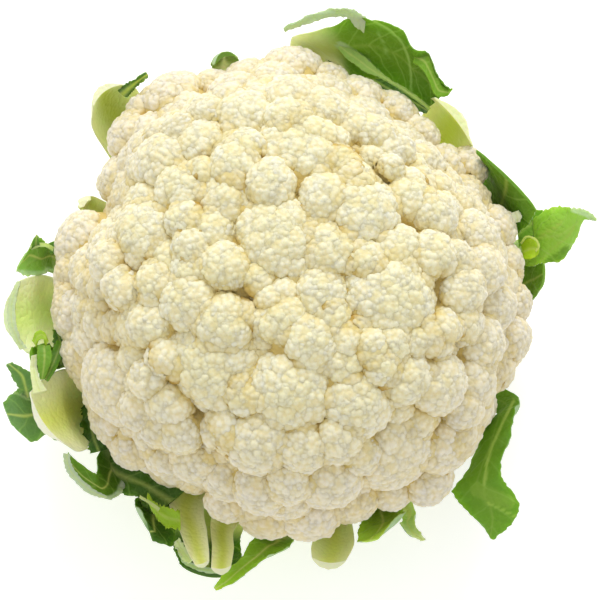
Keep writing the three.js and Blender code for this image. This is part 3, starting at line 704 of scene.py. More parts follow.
def curd_florets():
    """Middles, radii and axes of the flattened florets, with small ones where gaps show the core."""
    centres, radii = floret_balls()
    axes = unit_rows((centres - CORE_CENTRE) / DOME_SIZE**2)
    wide = radii * FLORET_WIDER
    centres = centres + axes * (radii - wide * FLORET_FLATTER)[:, None]
    radii = wide
    for k in range(GAP_TRIES):
        direction = spiral_direction(k, GAP_TRIES, GAP_SPAN)
        core = core_reach(direction[None])[0]
        if floret_reach(direction[None], centres, radii, axes).max() > core + GAP_COVER:
            continue
        radius = GAP_RADIUS + GAP_UNEVEN * math.sin(3 * k)
        centre = direction * (core + GAP_TOP - radius * FLORET_FLATTER) + CORE_CENTRE
        centres = np.vstack([centres, centre])
        radii = np.append(radii, radius)
        axes = np.vstack([axes, unit_rows(direction / DOME_SIZE**2)])
    return centres, radii, axes


def cleft_depth(points):
    """How far points are lowered where they lie over a cleft."""
    seen = picture(points)
    depth = np.zeros(len(points))
    for deep, wide, line in CLEFTS:
        depth = np.maximum(depth, deep * np.exp(-((line_distance(seen, line) / wide) ** 2)))
    return depth * smooth(WIDEST_Z + 5, WIDEST_Z + 15, points[:, 2])


def blend(reaches):
    """The smooth union of reaches along each direction, and each floret's weight in it."""
    top = reaches.max(1)
    weights = np.exp((reaches - top[:, None]) / CREASE_FILL)
    return top + CREASE_FILL * np.log(weights.sum(1)), weights / weights.sum(1)[:, None]


def spiral(count, widest, power, spin):
    """Unit directions round +Z in a growth spiral, and their angles from +Z."""
    polar = widest * ((np.arange(count) + 0.5) / count) ** power
    turn = GOLDEN_ANGLE * np.arange(count) + spin
    return np.stack([np.sin(polar) * np.cos(turn), np.sin(polar) * np.sin(turn), np.cos(polar)], 1), polar


def turned_to(axis, spin):
    """A turn whose third column is the axis."""
    side = np.cross((0.0, 0.0, 1.0) if abs(axis[2]) < 0.9 else (1.0, 0.0, 0.0), axis)
    side /= np.linalg.norm(side)
    one = side * math.cos(spin) + np.cross(axis, side) * math.sin(spin)
    return np.stack([one, np.cross(axis, one), axis], 1)


CAPS = {}


def cap(frequency, widest):
    """Corners and faces of a geodesic ball's cap round +Z, out to an angle in degrees."""
    if (frequency, widest) in CAPS:
        return CAPS[frequency, widest]
    golden = (1 + math.sqrt(5)) / 2
    base = np.array([
        (-1, golden, 0), (1, golden, 0), (-1, -golden, 0), (1, -golden, 0),
        (0, -1, golden), (0, 1, golden), (0, -1, -golden), (0, 1, -golden),
        (golden, 0, -1), (golden, 0, 1), (-golden, 0, -1), (-golden, 0, 1),
    ])
    sides = [
        (0, 11, 5), (0, 5, 1), (0, 1, 7), (0, 7, 10), (0, 10, 11), (1, 5, 9), (5, 11, 4), (11, 10, 2),
        (10, 7, 6), (7, 1, 8), (3, 9, 4), (3, 4, 2), (3, 2, 6), (3, 6, 8), (3, 8, 9), (4, 9, 5),
        (2, 4, 11), (6, 2, 10), (8, 6, 7), (9, 8, 1),
    ]
    i, j = np.array([(i, j) for i in range(frequency + 1) for j in range(frequency + 1 - i)]).T
    place = {(a, b): n for n, (a, b) in enumerate(zip(i, j))}
    small = []
    for a in range(frequency):
        for b in range(frequency - a):
            small.append((place[a, b], place[a + 1, b], place[a, b + 1]))
            if a + b < frequency - 1:
                small.append((place[a + 1, b], place[a + 1, b + 1], place[a, b + 1]))
    points = []
    faces = []
    for one, two, three in sides:
        grid = base[one] + np.outer(i, base[two] - base[one]) / frequency
        grid += np.outer(j, base[three] - base[one]) / frequency
        faces.append(np.array(small) + len(points) * len(grid))
        points.append(grid)
    points = unit_rows(np.concatenate(points))
    _, first, back = np.unique(np.round(points, 6), axis=0, return_index=True, return_inverse=True)
    faces = back.reshape(-1)[np.concatenate(faces)]
    points = points[first]
    kept = (points[faces][:, :, 2] > math.cos(math.radians(widest))).all(1)
    used, faces = np.unique(faces[kept], return_inverse=True)
    CAPS[frequency, widest] = points[used], faces.reshape(-1, 3)
    return CAPS[frequency, widest]


def place_lumps(rng):
    """The lumps on every floret. Each has a middle, a facing, a size, its share of the way from the
    floret's tip to its edge, its gap to the next floret, the depth of its cleft, and whether it is fine."""
    centres, radii, axes = curd_florets()
    lumps = []
    for i, (centre, radius) in enumerate(zip(centres, radii)):
        apart = np.linalg.norm(centres - centre, axis=1)
        near = np.nonzero((apart < radii + radius + NEIGHBOUR_GAP) & (np.arange(len(radii)) != i))[0]
        count = max(FEWEST_LUMPS, round(LUMPS_TO_A_SQUARE * radius**2))
        unit, polar = spiral(count, LUMPS_WIDEST, LUMPS_POWER, rng.uniform(0, ANY_TURN))
        unit = unit_rows(unit + rng.normal(0, LUMP_JITTER, unit.shape))
        out = polar / LUMPS_WIDEST
        thick = count / LUMPS_POWER * out ** (1 / LUMPS_POWER) / polar
        crowd = thick / (2 * math.pi * radius**2 * np.sin(polar))
        spacing = np.clip(np.sqrt(HONEYCOMB / crowd), *LUMP_SPACINGS) * rng.uniform(0.85, 1.2, count)
        local = unit * radius * np.array([1, 1, FLORET_FLATTER])
        offset = centre + local @ turned_to(axes[i], rng.uniform(0, ANY_TURN)).T - CORE_CENTRE
        away = np.linalg.norm(offset, axis=1)
        toward = offset / away[:, None]

        # Where florets meet, the surface and its facing blend from one to the other
        reaches = floret_reach(toward, centres[near], radii[near], axes[near])
        gap = away - reaches.max(1)
        reaches = np.hstack([reaches, away[:, None]])
        total, weights = blend(reaches)
        order = np.append(near, i)
        hits = CORE_CENTRE + toward[:, None] * reaches[..., None] - centres[order]
        rise = (hits * axes[order]).sum(2)
        facing = unit_rows(hits + SQUASH * rise[..., None] * axes[order])
        facing = unit_rows((facing * weights[..., None]).sum(1))
        places = CORE_CENTRE + toward * total[:, None]
        cleft = cleft_depth(places)
        size = spacing * (LUMP_FUSED - (LUMP_FUSED - LUMP_FREE) * smooth(0.15, 0.8, out))
        sunk = cleft + LUMP_SUNK * size - rng.uniform(-0.3, 0.4, count) * (0.25 + 0.75 * out)
        middles = places - facing * sunk[:, None]
        fine = i < len(FLORETS) or centre[2] > FINE_FROM
        kept = (gap > -LUMP_OVERLAP) & (middles[:, 2] > LOWEST_LUMP)
        kept &= total - core_reach(toward) > LUMP_ABOVE_CORE
        for n in np.nonzero(kept)[0]:
            lumps.append((middles[n], facing[n], size[n], out[n], gap[n], cleft[n], fine))
    return lumps


def grained_reach(unit, size, rng):
    """How far a lump of a size, covered in grains, reaches along unit directions."""
    count = max(FEWEST_GRAINS, round(2 * math.pi * size**2 * 0.95 / GRAIN_AREA))
    heads, _ = spiral(count, GRAINS_WIDEST, GRAINS_POWER, 0.0)
    heads = heads + rng.normal(0, GRAIN_JITTER, heads.shape)
    radii = rng.uniform(*GRAIN_RADII, count)
    spots = heads * (size + rng.uniform(-0.12, 0.14, count) - radii)[:, None]
    along = unit @ spots.T
    inside = radii**2 - (spots**2).sum(1) + along**2
    hit = np.where(inside > 0, along + np.sqrt(np.maximum(inside, 0)), 0).max(1)
    return np.maximum(hit, size - GRAIN_DEPTH)


def lump_colours(points, low_on_lump, between_grains, out, gap, cleft):
    """Cream, yellower at a floret's tip, greyer at the rim partly by painted shade, and painted shade in
    creases from yellow to ochre.
    """
    pit = 1 - smooth(0, PIT_GAP, gap)
    colours = mix(CREAM, APEX, np.full(len(points), 0.6 * (1 - smooth(0.1, 0.55, out))))
    # Painted shade with the curd's own pinkish tone: greyer far from the axis
    colours = mix(colours, RIM_TONE_AND_SHADE, 0.5 * smooth(*RIM_GREYS, flat_of(points)))
    # Painted shade: yellower low on each lump, in pits between florets and down between grains
    crease = 0.55 * low_on_lump + 0.35 * pit + 0.4 * between_grains
    colours = mix(colours, CREASE_SHADE, np.clip(crease, 0, 0.95))
    # Painted deep shade: ochre low on lumps, strongest in narrow pits and over clefts
    ochre = (0.1 + 0.85 * low_on_lump) * (0.15 + 1.0 * pit**1.5 + 0.2 * cleft)
    return mix(colours, DEEP_CREASE_SHADE, np.clip(ochre, 0, 0.9))


def curd_lumps():
    """Lumps of the curd as (corners, faces, colours), less what lies inside a neighbour."""
    rng = np.random.default_rng(11)
    lumps = place_lumps(rng)
    middles = trimmed(np.array([lump[0] for lump in lumps]))
    sizes = np.array([lump[2] for lump in lumps])
    made = []
    for k, (_, facing, size, out, gap, cleft, fine) in enumerate(lumps):
        edge = FINE_EDGE if fine else COARSE_EDGE
        unit, faces = cap(max(3, round(1.1 * size / edge)), CAP_WIDEST)
        turned = turned_to(facing, rng.uniform(0, ANY_TURN))
        reach = grained_reach(unit, size, rng)
        points = middles[k] + (unit * reach[:, None]) @ turned.T
        apart = np.linalg.norm(middles - middles[k], axis=1)
        near = np.nonzero((apart < sizes + size) & (np.arange(len(lumps)) != k))[0]
        height = np.linalg.norm(points[:, None] - middles[near][None], axis=2) - sizes[near]
        hidden = (height < -BURIED_DEPTH).any(1)
        used, faces = np.unique(faces[~hidden[faces].all(1)], return_inverse=True)
        if not len(used):
            continue
        # How low on its lump and how far down between grains a point is, for the painted crease shade
        low_on_lump = smooth(0.9, 0.4, unit[used][:, 2])
        between_grains = smooth(size + 0.02, size - 0.38, reach[used])
        colours = lump_colours(points[used], low_on_lump, between_grains, out, gap, cleft)
        made.append((points[used], faces.reshape(-1, 3), colours))
    return made


def curd_bed():
    """The surface under the lumps, ribbed like dividing branches on its underside, painted darker yellow as
    shade for the gaps between lumps and olive as shade in the grooves between the pale ridges.
    """
    florets = curd_florets()
    unit, faces = cap(BED_FREQUENCY, BED_WIDEST)
    reach = core_reach(unit)
    flat = reach * flat_of(unit)
    wander = bearing_of(unit)
    wander = wander + 0.05 * np.sin(5 * wander) + 0.03 * np.sin(0.2 * flat)
    inner, middle, outer = (np.abs(np.cos(count * wander / 2)) ** 0.6 for count in (UNDER_RIDGES + 2, 26, 52))
    ridge = inner + (middle - inner) * smooth(30, 42, flat)
    ridge = ridge + (outer - ridge) * smooth(52, 62, flat)
    below = smooth(0.05, -0.15, unit[:, 2])
    reach = reach + BED_RIDGE * below * ridge
    for start in range(0, len(unit), BED_BATCH):
        part = slice(start, start + BED_BATCH)
        total, _ = blend(floret_reach(unit[part], *florets))
        cleft = cleft_depth(CORE_CENTRE + unit[part] * total[:, None])
        reach[part] = np.maximum(reach[part], total - cleft - BED_UNDER_LUMPS)
    lowest = (STALK_HEIGHT + STALK_GAP - CORE_CENTRE[2]) / np.minimum(unit[:, 2], -1e-6)
    reach = np.where(unit[:, 2] < 0, np.minimum(reach, lowest), reach)
    # Painted shade: the bed darker yellow, the underside olive in its grooves and pale only on the ridges
    colours = mix(mix(BED_TONE_AND_SHADE, BRANCH_GROOVE_SHADE, below), BRANCH, below * ridge)
    return trimmed(CORE_CENTRE + unit * reach[:, None]), faces, colours


def stalk_mesh():
    """The cut stalk: ribbed sides with leaf scars, and a cut face with its ring of darker flesh."""
    turns = 150
    bearing = np.linspace(0, 2 * math.pi, turns, endpoint=False)
    rng = np.random.default_rng(21)
    scars = []
    for k in range(SCARS):
        height = SCAR_LOWEST + SCAR_SPAN * ((SCAR_STEP * k) % 1)
        scars.append((GOLDEN_ANGLE * k, height, rng.uniform(*SCAR_SIZES)))
    rows = []
    tones = []
    for share in np.linspace(0, 1, 14):
        ring = math.exp(-(((share - CUT_RING_AT) / CUT_RING_WIDTH) ** 2))
        grain = 0.12 * np.sin(9 * bearing + 5 * share) + 0.1 * np.sin(23 * bearing)
        radius = share * (STALK_BASE_R - CUT_EDGE)
        rows.append((np.full(turns, radius), np.full(turns, CUT_RING_RISE * ring)))
        tones.append(mix(STALK_CUT, STALK_RING, np.clip(ring * (0.8 + grain) + 0.1 * share, 0, 1)))
    profile = [(STALK_BASE_R - CUT_EDGE, 0), (STALK_BASE_R - 0.4, 0.3), (STALK_BASE_R, CUT_EDGE)]
    profile += [(STALK_BASE_R + 2 * z / 10, z) for z in np.linspace(2, 10, 9)]
    profile += [(STALK_BASE_R + 2 + (z - 10) / 20, z) for z in np.linspace(11, STALK_HEIGHT, 20)]
    for radius, z in profile:
        out = 0.25 * np.sin(17 * bearing + 0.1 * z) + 0.12 * np.sin(41 * bearing)
        scarred = np.zeros(turns)
        for turn, height, size in scars:
            turned = (bearing - turn + math.pi) % (2 * math.pi) - math.pi
            away = np.hypot(turned * STALK_TOP_R / (1.8 * size), (z - height) / (0.8 * size))
            scarred = np.maximum(scarred, smooth(1.0, 0.7, away))
            out = out + SCAR_RISE * np.exp(-(((away - 1) / 0.2) ** 2))
        fade = min(1.0, z / 2)
        rows.append((radius + out * fade - SCAR_DEPTH * scarred * fade, np.full(turns, z)))
        skin_tone = mix(STALK_SKIN, STALK_TOP, z / STALK_HEIGHT)
        tones.append(mix(skin_tone, STALK_SCAR, 0.7 * scarred * fade))
    rows.append((np.zeros(turns), np.full(turns, STALK_HEIGHT)))
    tones.append(np.broadcast_to(STALK_TOP, (turns, 3)))
    points = np.concatenate([np.stack([r * np.cos(bearing), r * np.sin(bearing), z], 1) for r, z in rows])
    grid = np.arange(len(rows) * turns).reshape(len(rows), turns)
    next_round = np.roll(grid, -1, 1)
    faces = quads(grid[:-1].ravel(), next_round[:-1].ravel(), next_round[1:].ravel(), grid[1:].ravel())
    return points, faces[:, ::-1], np.concatenate(tones)


def clear_reach(directions, offset, radii):
    """The least distances from the core's centre, along unit directions, that clear the curd."""
    side = np.stack([-directions[:, 1], directions[:, 0], np.zeros(len(directions))], 1)
    side /= np.maximum(np.linalg.norm(side, axis=1), 1e-9)[:, None]
    up = np.cross(directions, side)
    around = [directions]
    for k in range(8):
        turn = k * math.pi / 4
        around.append(unit_rows(directions + CLEAR_ANGLE * (math.cos(turn) * side + math.sin(turn) * up)))
    reach = np.zeros(len(directions))
    for near in around:
        reach = np.maximum(reach, np.maximum(ball_reach(near, offset, radii), core_reach(near)))
    return reach + CLEAR_OF_CURD - flat_of(directions) * rim_trim(bearing_of(directions))


def curve(points, shares):
    """Points of a smooth curve through the given ones, and its slopes, at shares from 0 to 1."""
    points = np.asarray(points, float)
    padded = np.vstack([2 * points[0] - points[1], points, 2 * points[-1] - points[-2]])
    place = shares * (len(points) - 1)
    i = np.minimum(np.floor(place).astype(int), len(points) - 2)
    w = (place - i)[:, None]
    p0, p1, p2, p3 = (padded[i + k] for k in range(4))
    t0 = 0.4 * (p2 - p0)
    t1 = 0.4 * (p3 - p1)
    c2 = 3 * (p2 - p1) - 2 * t0 - t1
    c3 = 2 * (p1 - p2) + t0 + t1
    return p1 + t0 * w + c2 * w**2 + c3 * w**3, t0 + 2 * c2 * w + 3 * c3 * w**2


def root_edges(level, root, left, right):
    """The edges of a leaf's part under the curd, from the stalk out to its first station's edges."""
    middle = (left + right) / 2
    root = math.radians(root)
    swing = math.atan2(middle[1], middle[0]) - root
    swing -= 2 * math.pi * round(swing / (2 * math.pi))
    far = math.hypot(middle[0], middle[1])
    widest = max(np.linalg.norm(left - right) / 2, PETIOLE_HALF_WIDTH)
    edges = []
    for r, z in LEVELS[level]:
        if r > far - ROOT_STOPS_BEFORE:
            continue
        bearing = root + swing * (r / far) ** 1.5
        spread = max(0.0, (r - STALK_BASE_R) / (far - STALK_BASE_R))
        wide = ROOT_HALF_WIDTH + (widest - ROOT_HALF_WIDTH) * spread**0.8
        here = r * np.array([math.cos(bearing), math.sin(bearing), 0]) + np.array([0, 0, z])
        side = np.array([math.sin(bearing), -math.cos(bearing), 0])
        edges.append((here - wide * side, here + wide * side))
    return edges


def leaf_colours(look, place, sideways, tip, blade_share, seen):
    """Colours of a leaf's upper and lower side, and how much of each point is green blade."""
    green = mix(look["near"], look["tip"], tip)
    rib_width = look["rib_width"] * (1 - 0.75 * tip) + STEM_RIB_WIDTH * (1 - blade_share)
    on_rib = np.exp(-((sideways / np.maximum(rib_width, NARROWEST_RIB)) ** 2))
    rib_shown = 0.9 * min(1, look["rib_width"] / 0.2)
    blade = np.clip(blade_share * (1 - rib_shown * on_rib), 0, 1)
    # Partly painted shade: the middle of the hollow gets stem_deep, the edges stem
    stem = mix(look["stem"], look["stem_deep"], 0.5 + 0.5 * np.cos(math.pi * place)[None, :])
    top = mix(stem, green, blade)
    bottom = mix(look["stem"], look["under"], blade).reshape(-1, 3)
    if "margin" in look:
        wide, tone = look["margin"]
        at_margin = smooth(1 - 1.3 * wide, 1 - 0.7 * wide, -place)[None, :] * blade_share
        top = mix(top, linear(*tone), at_margin)
    top = top.reshape(-1, 3)
    # Veins, lighter bands and painted shade laid on along lines by where they are seen
    for tone, wide, line in look["lines"]:
        on_line = smooth(wide + 0.8, wide - 0.4, line_distance(seen, line))
        top = mix(top, linear(*tone), 0.85 * on_line)
    return top, bottom, blade.ravel()


def edge_waves(length, place, crinkle, rng):
    """Waves that run along both edges of a leaf in several lengths."""
    waves = np.zeros((len(length), len(place)))
    for length_of_wave, size in EDGE_WAVES:
        for side in (-1, 1):
            phase = rng.uniform(0, ANY_TURN)
            edge = np.clip(side * place, 0, 1)[None, :] ** 1.6
            ripple = np.sin(2 * math.pi * length[:, None] / length_of_wave + phase + 1.5 * edge)
            waves += size * crinkle * edge * ripple
    return waves


def leaf_surface(edges, hollow, ribs, look, rooted, balls, rng):
    """Corners, faces, colours, leaf coordinates and vein strengths of one closed strip of leaf."""
    look = look | {part: linear(*look[part]) for part in LOOK_COLOURS}
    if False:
        sections, columns = 14, 9
    elif rooted:
        sections, columns = 6 * len(edges) + 8, 27
    else:
        sections, columns = 7 * len(edges), 11
    share = np.linspace(0, 1, sections)
    left, left_slope = curve([e[0] for e in edges], share)
    right, right_slope = curve([e[1] for e in edges], share)
    middle = (left + right) / 2
    across = (right - left) / 2
    half = np.linalg.norm(across, axis=1)[:, None]
    face = unit_rows(np.cross(across, unit_rows(left_slope + right_slope)))
    length = np.concatenate([[0], np.cumsum(np.linalg.norm(np.diff(middle, axis=0), axis=1))])
    station = share * (len(edges) - 1) - rooted
    tip = np.clip(station / max(1, len(edges) - rooted - 1), 0, 1)[:, None]
    blade_share = smooth(*look["green"], station)[:, None]
    place = np.sin(np.linspace(-math.pi / 2, math.pi / 2, columns)) * 0.5 + np.linspace(-1, 1, columns) * 0.5
    sideways = place[None, :] * half

    # The section: a thin blade with a rib below, hollow between wavy edges
    bulge = np.clip(1 - (sideways / np.minimum(half, ROOT_HALF_WIDTH + 2)) ** 2, 0, None)
    rib = np.maximum(0, ribs[0] + (ribs[1] - ribs[0]) * share - BLADE_THICKNESS)[:, None] * (1 - 0.55 * tip)
    thickness = EDGE_THICKNESS * (1 - 0.55 * np.abs(place[None, :]) ** 6) + rib * bulge
    ridges = RIDGE_HEIGHT * np.cos(sideways * RIDGE_RATE) * (thickness > RIDGED_FROM)
    opening = np.minimum(1, 2.2 * share)[:, None] if rooted else 1
    sink = hollow * opening * half * (place[None, :] ** 2 - 1)
    waves = edge_waves(length, place, look["crinkle"], rng) * (0.15 + 0.85 * blade_share)
    upper = middle[:, None] + across[:, None] * place[None, :, None]
    upper = upper + face[:, None] * (sink + waves)[..., None]
    ragged = rng.uniform(-1, 1, (sections, 2)) * RAGGED * look["crinkle"] * blade_share
    upper[:, 0] += across / half * ragged[:, :1]
    upper[:, -1] += across / half * ragged[:, 1:]

    # The upper side moves out along lines from the curd's centre until it clears the curd
    offset = upper.reshape(-1, 3) - CORE_CENTRE
    away = np.linalg.norm(offset, axis=1)[:, None]
    short = np.maximum(0, clear_reach(offset / away, *balls)[:, None] - away)
    upper = (CORE_CENTRE + offset + offset / away * short).reshape(upper.shape)
    lower = upper - face[:, None] * (thickness + ridges)[..., None]
    points = np.concatenate([upper.reshape(-1, 3), lower.reshape(-1, 3)])
    points[:, 2] = np.maximum(points[:, 2], FLOOR_GAP)
    grid = np.arange(sections * columns).reshape(sections, columns)
    below = sections * columns
    top = quads(grid[:-1, :-1].ravel(), grid[:-1, 1:].ravel(), grid[1:, 1:].ravel(), grid[1:, :-1].ravel())
    faces = [top, top[:, ::-1] + below]
    for column, order in ((0, 1), (-1, -1)):
        e, f = grid[:-1, column], grid[1:, column]
        faces.append(quads(e, f, f + below, e + below)[:, ::order])
    top, bottom, blade = leaf_colours(look, place, sideways, tip, blade_share, picture(upper.reshape(-1, 3)))
    colours = np.concatenate([top, bottom])
    uv = np.stack([np.broadcast_to(length[:, None], sideways.shape), sideways], 2).reshape(-1, 2)
    uv = np.concatenate([uv, uv]) / MM_PER_LEAF_UNIT
    vein = look["veined"] * np.concatenate([blade, 0.8 * blade])

    # Cut ends
    for row, order in ((0, -1), (-1, 1)):
        rim = np.concatenate([grid[row], grid[row][::-1] + below])
        k = len(points) + np.arange(columns - 1)
        opposite = 2 * len(points) + len(rim) - 1 - k
        faces.append(quads(k, k + 1, opposite - 1, opposite)[:, ::order])
        points = np.vstack([points, points[rim]])
        colours = np.vstack([colours, np.broadcast_to(look["cut"], (len(rim), 3))])
        uv = np.vstack([uv, uv[rim]])
        vein = np.concatenate([vein, np.zeros(len(rim))])
    return points, np.concatenate(faces), colours, uv, vein


def new_object(name, data):
    """An object of the scene that shows the data."""
    thing = bpy.data.objects.new(name, data)
    bpy.context.scene.collection.objects.link(thing)
    return thing


def make_piece(name, parts, material, replaced):
    """A piece joined from parts of corners in millimetres, triangles, colours and, on leaves, leaf
    coordinates and vein strengths. It stands in for one node of the CAD model."""
    start = np.cumsum([0] + [len(part[0]) for part in parts])
    faces = np.concatenate([part[1] + first for part, first in zip(parts, start)])
    points, _, colours, *on_leaves = (np.concatenate(values) for values in zip(*parts))
    mesh = bpy.data.meshes.new(name)
    mesh.vertices.add(len(points))
    mesh.vertices.foreach_set("co", (points * MM).astype(np.float32).ravel())
    mesh.loops.add(3 * len(faces))
    mesh.loops.foreach_set("vertex_index", faces.astype(np.int32).ravel())
    mesh.polygons.add(len(faces))
    mesh.polygons.foreach_set("loop_start", np.arange(0, 3 * len(faces), 3, dtype=np.int32))
    mesh.polygons.foreach_set("use_smooth", np.full(len(faces), True))
    mesh.update(calc_edges=True)
    layer = mesh.color_attributes.new("tint", "FLOAT_COLOR", "POINT")
    opaque = np.hstack([colours, np.ones((len(points), 1))])
    layer.data.foreach_set("color", opaque.astype(np.float32).ravel())
    if on_leaves:
        uv, vein = on_leaves
        layer = mesh.uv_layers.new(name="leaf")
        layer.data.foreach_set("uv", uv[faces.ravel()].astype(np.float32).ravel())
        layer = mesh.attributes.new("vein", "FLOAT", "POINT")
        layer.data.foreach_set("value", vein.astype(np.float32))
    mesh.validate()
    mesh.materials.append(material)
    thing = new_object(name, mesh)
    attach(thing, "root")
    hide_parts(replaced)


def node(tree, kind, inputs=None, **settings):
    """A shader node with settings, and inputs that are values or other nodes' outputs."""
    made = tree.nodes.new(kind)
    for name, value in settings.items():
        setattr(made, name, value)
    for name, value in (inputs or {}).items():
        if isinstance(value, bpy.types.NodeSocket):
            tree.links.new(value, made.inputs[name])
        else:
            made.inputs[name].default_value = value
    return made


def skin(name, roughness, subsurface, radius, grain_scale, grain_depth, speckle):
    """A material coloured by the mesh's tints, with speckles and a relief of fine round grains."""
    material = bpy.data.materials.new(name)
    material.use_nodes = True
    tree = material.node_tree
    place = node(tree, "ShaderNodeTexCoord").outputs["Object"]
    noise = node(tree, "ShaderNodeTexNoise", {"Vector": place, "Scale": 60.0, "Detail": 6.0})
    limits = {"Value": noise.outputs["Fac"], "To Min": 1 - speckle, "To Max": 1 + speckle}
    shade = node(tree, "ShaderNodeMapRange", limits)
    tint = node(tree, "ShaderNodeAttribute", attribute_name="tint")
    factors = {0: tint.outputs["Color"], "Scale": shade.outputs["Result"]}
    colour = node(tree, "ShaderNodeVectorMath", factors, operation="SCALE")
    grain = node(tree, "ShaderNodeTexVoronoi", {"Vector": place, "Scale": grain_scale}, feature="F1")
    squared = {0: grain.outputs["Distance"], 1: grain.outputs["Distance"]}
    dome = node(tree, "ShaderNodeMath", squared, operation="MULTIPLY")
    relief = {"Strength": 1.0, "Distance": grain_depth, "Height": dome.outputs["Value"]}
    bump = node(tree, "ShaderNodeBump", relief, invert=True)
    shader = tree.nodes["Principled BSDF"]
    shader.inputs["Roughness"].default_value = roughness
    shader.inputs["Subsurface Weight"].default_value = subsurface
    shader.inputs["Subsurface Radius"].default_value = radius
    shader.inputs["Subsurface Scale"].default_value = 1.0
    shader.inputs["Specular IOR Level"].default_value = 0.3
    tree.links.new(colour.outputs["Vector"], shader.inputs["Base Color"])
    tree.links.new(bump.outputs["Normal"], shader.inputs["Normal"])
    return material


def leaf_material():
    """The leaves' skin, with side veins along their coordinates and a net of finer ones."""
    material = skin("leaf_skin", 0.5, 0.35, (0.003, 0.004, 0.0012), 700.0, 0.00025, 0.12)
    tree = material.node_tree
    shader = tree.nodes["Principled BSDF"]
    base, normal = (shader.inputs[name].links[0].from_socket for name in ("Base Color", "Normal"))

    def maths(operation, *values):
        return node(tree, "ShaderNodeMath", dict(enumerate(values)), operation=operation).outputs[0]

    def thin_line(distance, sharpness):
        """1 on a line and 0 away from it."""
        return maths("SUBTRACT", 1.0, maths("SMOOTH_MIN", maths("MULTIPLY", distance, sharpness), 1.0, 0.3))

    place = node(tree, "ShaderNodeTexCoord").outputs["Object"]
    leaf = node(tree, "ShaderNodeUVMap", uv_map="leaf")
    split = node(tree, "ShaderNodeSeparateXYZ", {0: leaf.outputs["UV"]})
    noise = node(tree, "ShaderNodeTexNoise", {"Vector": place, "Scale": 110.0})
    wander = maths("MULTIPLY_ADD", noise.outputs["Fac"], 0.05, -0.025)
    slope = maths("MULTIPLY", maths("ABSOLUTE", split.outputs["Y"]), -0.9)
    line = maths("ADD", maths("ADD", split.outputs["X"], slope), wander)
    near = maths("ABSOLUTE", maths("SUBTRACT", maths("FRACT", maths("MULTIPLY", line, 1 / 0.085)), 0.5))
    net = node(tree, "ShaderNodeTexVoronoi", {"Vector": place, "Scale": 330.0}, feature="DISTANCE_TO_EDGE")
    fine_vein = maths("MULTIPLY", thin_line(net.outputs["Distance"], 9.0), 0.3)
    strength = node(tree, "ShaderNodeAttribute", attribute_name="vein")
    veins = maths("MULTIPLY", maths("MAXIMUM", thin_line(near, 12.0), fine_vein), strength.outputs["Fac"])
    veins = maths("MULTIPLY", maths("MAXIMUM", veins, 0.0), 0.3)
    colours = {"Factor": veins, "A": base, "B": (*linear(*VEIN), 1)}
    colour = node(tree, "ShaderNodeMix", colours, data_type="RGBA")
    relief = {"Strength": 0.7, "Distance": 0.0005, "Height": veins, "Normal": normal}
    raised = node(tree, "ShaderNodeBump", relief)
    tree.links.new(colour.outputs["Result"], shader.inputs["Base Color"])
    tree.links.new(raised.outputs["Normal"], shader.inputs["Normal"])
    return material


def add_curd():
    """The lumps, going round the head in pieces of a like number of triangles, and their bed."""
    material = skin("curd_skin", 0.62, 0.25, (0.0014, 0.0012, 0.0008), 640.0, 0.00042, 0.05)
    lumps = sorted(curd_lumps(), key=lambda part: math.atan2(part[0][:, 1].mean(), part[0][:, 0].mean()))
    total = sum(len(part[1]) for part in lumps)
    share = total / math.ceil(total / PIECE_LIMIT)
    number = 1
    count = 0
    batch = []
    for part in lumps:
        batch.append(part)
        count += len(part[1])
        if count >= share or part is lumps[-1]:
            make_piece(f"curd_florets_{number}", batch, material, "curd")
            number += 1
            count = 0
            batch = []
    make_piece("curd_bed", [curd_bed()], material, "curd")


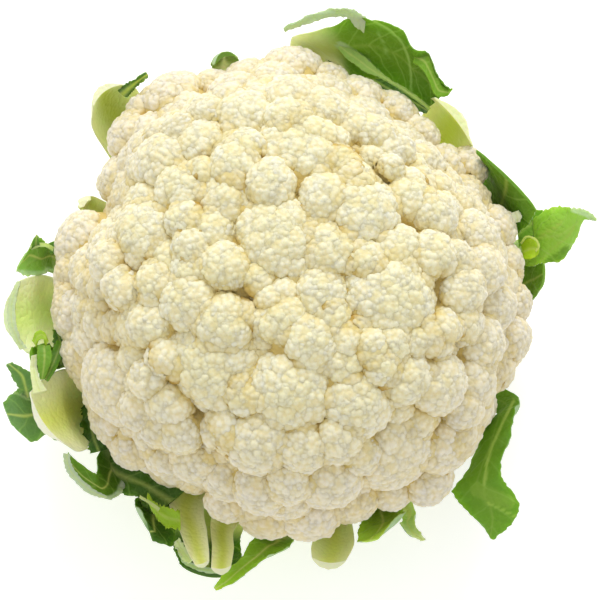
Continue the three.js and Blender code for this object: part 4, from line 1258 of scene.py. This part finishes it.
def add_leaves():
    """Every leaf, stub and cut leaf stem, as one piece with its strips and folds."""
    material = leaf_material()
    rng = np.random.default_rng(5)
    centres, radii = floret_balls()
    balls = (centres - CORE_CENTRE, radii - LUMP_INSET)
    thin = (BLADE_THICKNESS, BLADE_THICKNESS)
    for name, (level, root, hollow, rib, stations) in LEAVES.items():
        look = DEFAULT_LOOK | LOOKS[name] | {"lines": VEINS_BANDS_AND_SHADE.get(name, [])}
        is_stem = look["green"] == NEVER
        if not is_stem:
            look["cut"] = look["tip"]
        seen = sight_edges(stations)
        roots = root_edges(level, root, *seen[0])
        parts = [leaf_surface(roots + seen, hollow, (RIB_THICKNESS, rib), look, len(roots), balls, rng)]
        if name in STRIPS:
            torn = look | {"near": look["torn"], "tip": look["torn"], "green": WHOLLY}
            parts.append(leaf_surface(sight_edges(STRIPS[name]), 0.0, thin, torn, 0, balls, rng))
        for owner, tone, crinkle, veined, rows in FOLDS:
            if owner != name:
                continue
            fold = DEFAULT_LOOK | {"near": tone, "tip": tone, "under": tone, "cut": tone, "green": WHOLLY}
            fold |= {"crinkle": crinkle, "veined": veined, "rib_width": FOLD_RIB_WIDTH}
            parts.append(leaf_surface(sight_edges(rows), FOLD_HOLLOW, thin, fold, 0, balls, rng))
        make_piece(name + "_fine", parts, material, name)


def add_floor():
    """A plain pale floor."""
    bpy.ops.mesh.primitive_plane_add(size=FLOOR_SIZE, location=(0, 0, 0))
    floor = bpy.context.object
    floor.name = "floor"
    material = bpy.data.materials.new("floor")
    material.use_nodes = True
    shader = material.node_tree.nodes["Principled BSDF"]
    shader.inputs["Base Color"].default_value = FLOOR_WHITE
    shader.inputs["Roughness"].default_value = 0.9
    shader.inputs["Emission Color"].default_value = (1, 1, 1, 1)
    shader.inputs["Emission Strength"].default_value = FLOOR_GLOW
    floor.data.materials.append(material)


def add_light():
    """Soft light from all round, and a key light from above the back of the head."""
    world = bpy.data.worlds.new("studio")
    bpy.context.scene.world = world
    world.use_nodes = True
    background = world.node_tree.nodes["Background"]
    background.inputs["Color"].default_value = (1, 1, 1, 1)
    background.inputs["Strength"].default_value = STUDIO_LIGHT
    data = bpy.data.lights.new("key", "AREA")
    data.size = KEY_SIZE
    data.energy = KEY_POWER
    light = new_object("key", data)
    light.location = KEY_PLACE
    toward = Vector(KEY_AIM) - Vector(KEY_PLACE)
    light.rotation_euler = toward.to_track_quat("-Z", "Y").to_euler()


def add_camera():
    """The camera where the photograph is seen from."""
    data = bpy.data.cameras.new("camera")
    data.sensor_width = SENSOR_WIDTH
    data.lens = SENSOR_WIDTH * SIGHT_DISTANCE / (2 * PICTURE_MIDDLE * MM_PER_PIXEL)
    camera = new_object("camera", data)
    camera.location = Vector((SIGHT_AIM + SIGHT_BACK * SIGHT_DISTANCE) * MM)
    camera.rotation_euler = (-Vector(SIGHT_BACK)).to_track_quat("-Z", "Y").to_euler()
    bpy.context.scene.camera = camera
    bpy.context.scene.view_settings.view_transform = "Standard"


add_curd()
stalk_material = skin("stalk_skin", 0.5, 0.2, (0.0016, 0.0018, 0.0008), 500.0, 0.0002, 0.08)
make_piece("stalk_fine", [stalk_mesh()], stalk_material, "stalk")
add_leaves()
add_floor()
add_light()
add_camera()
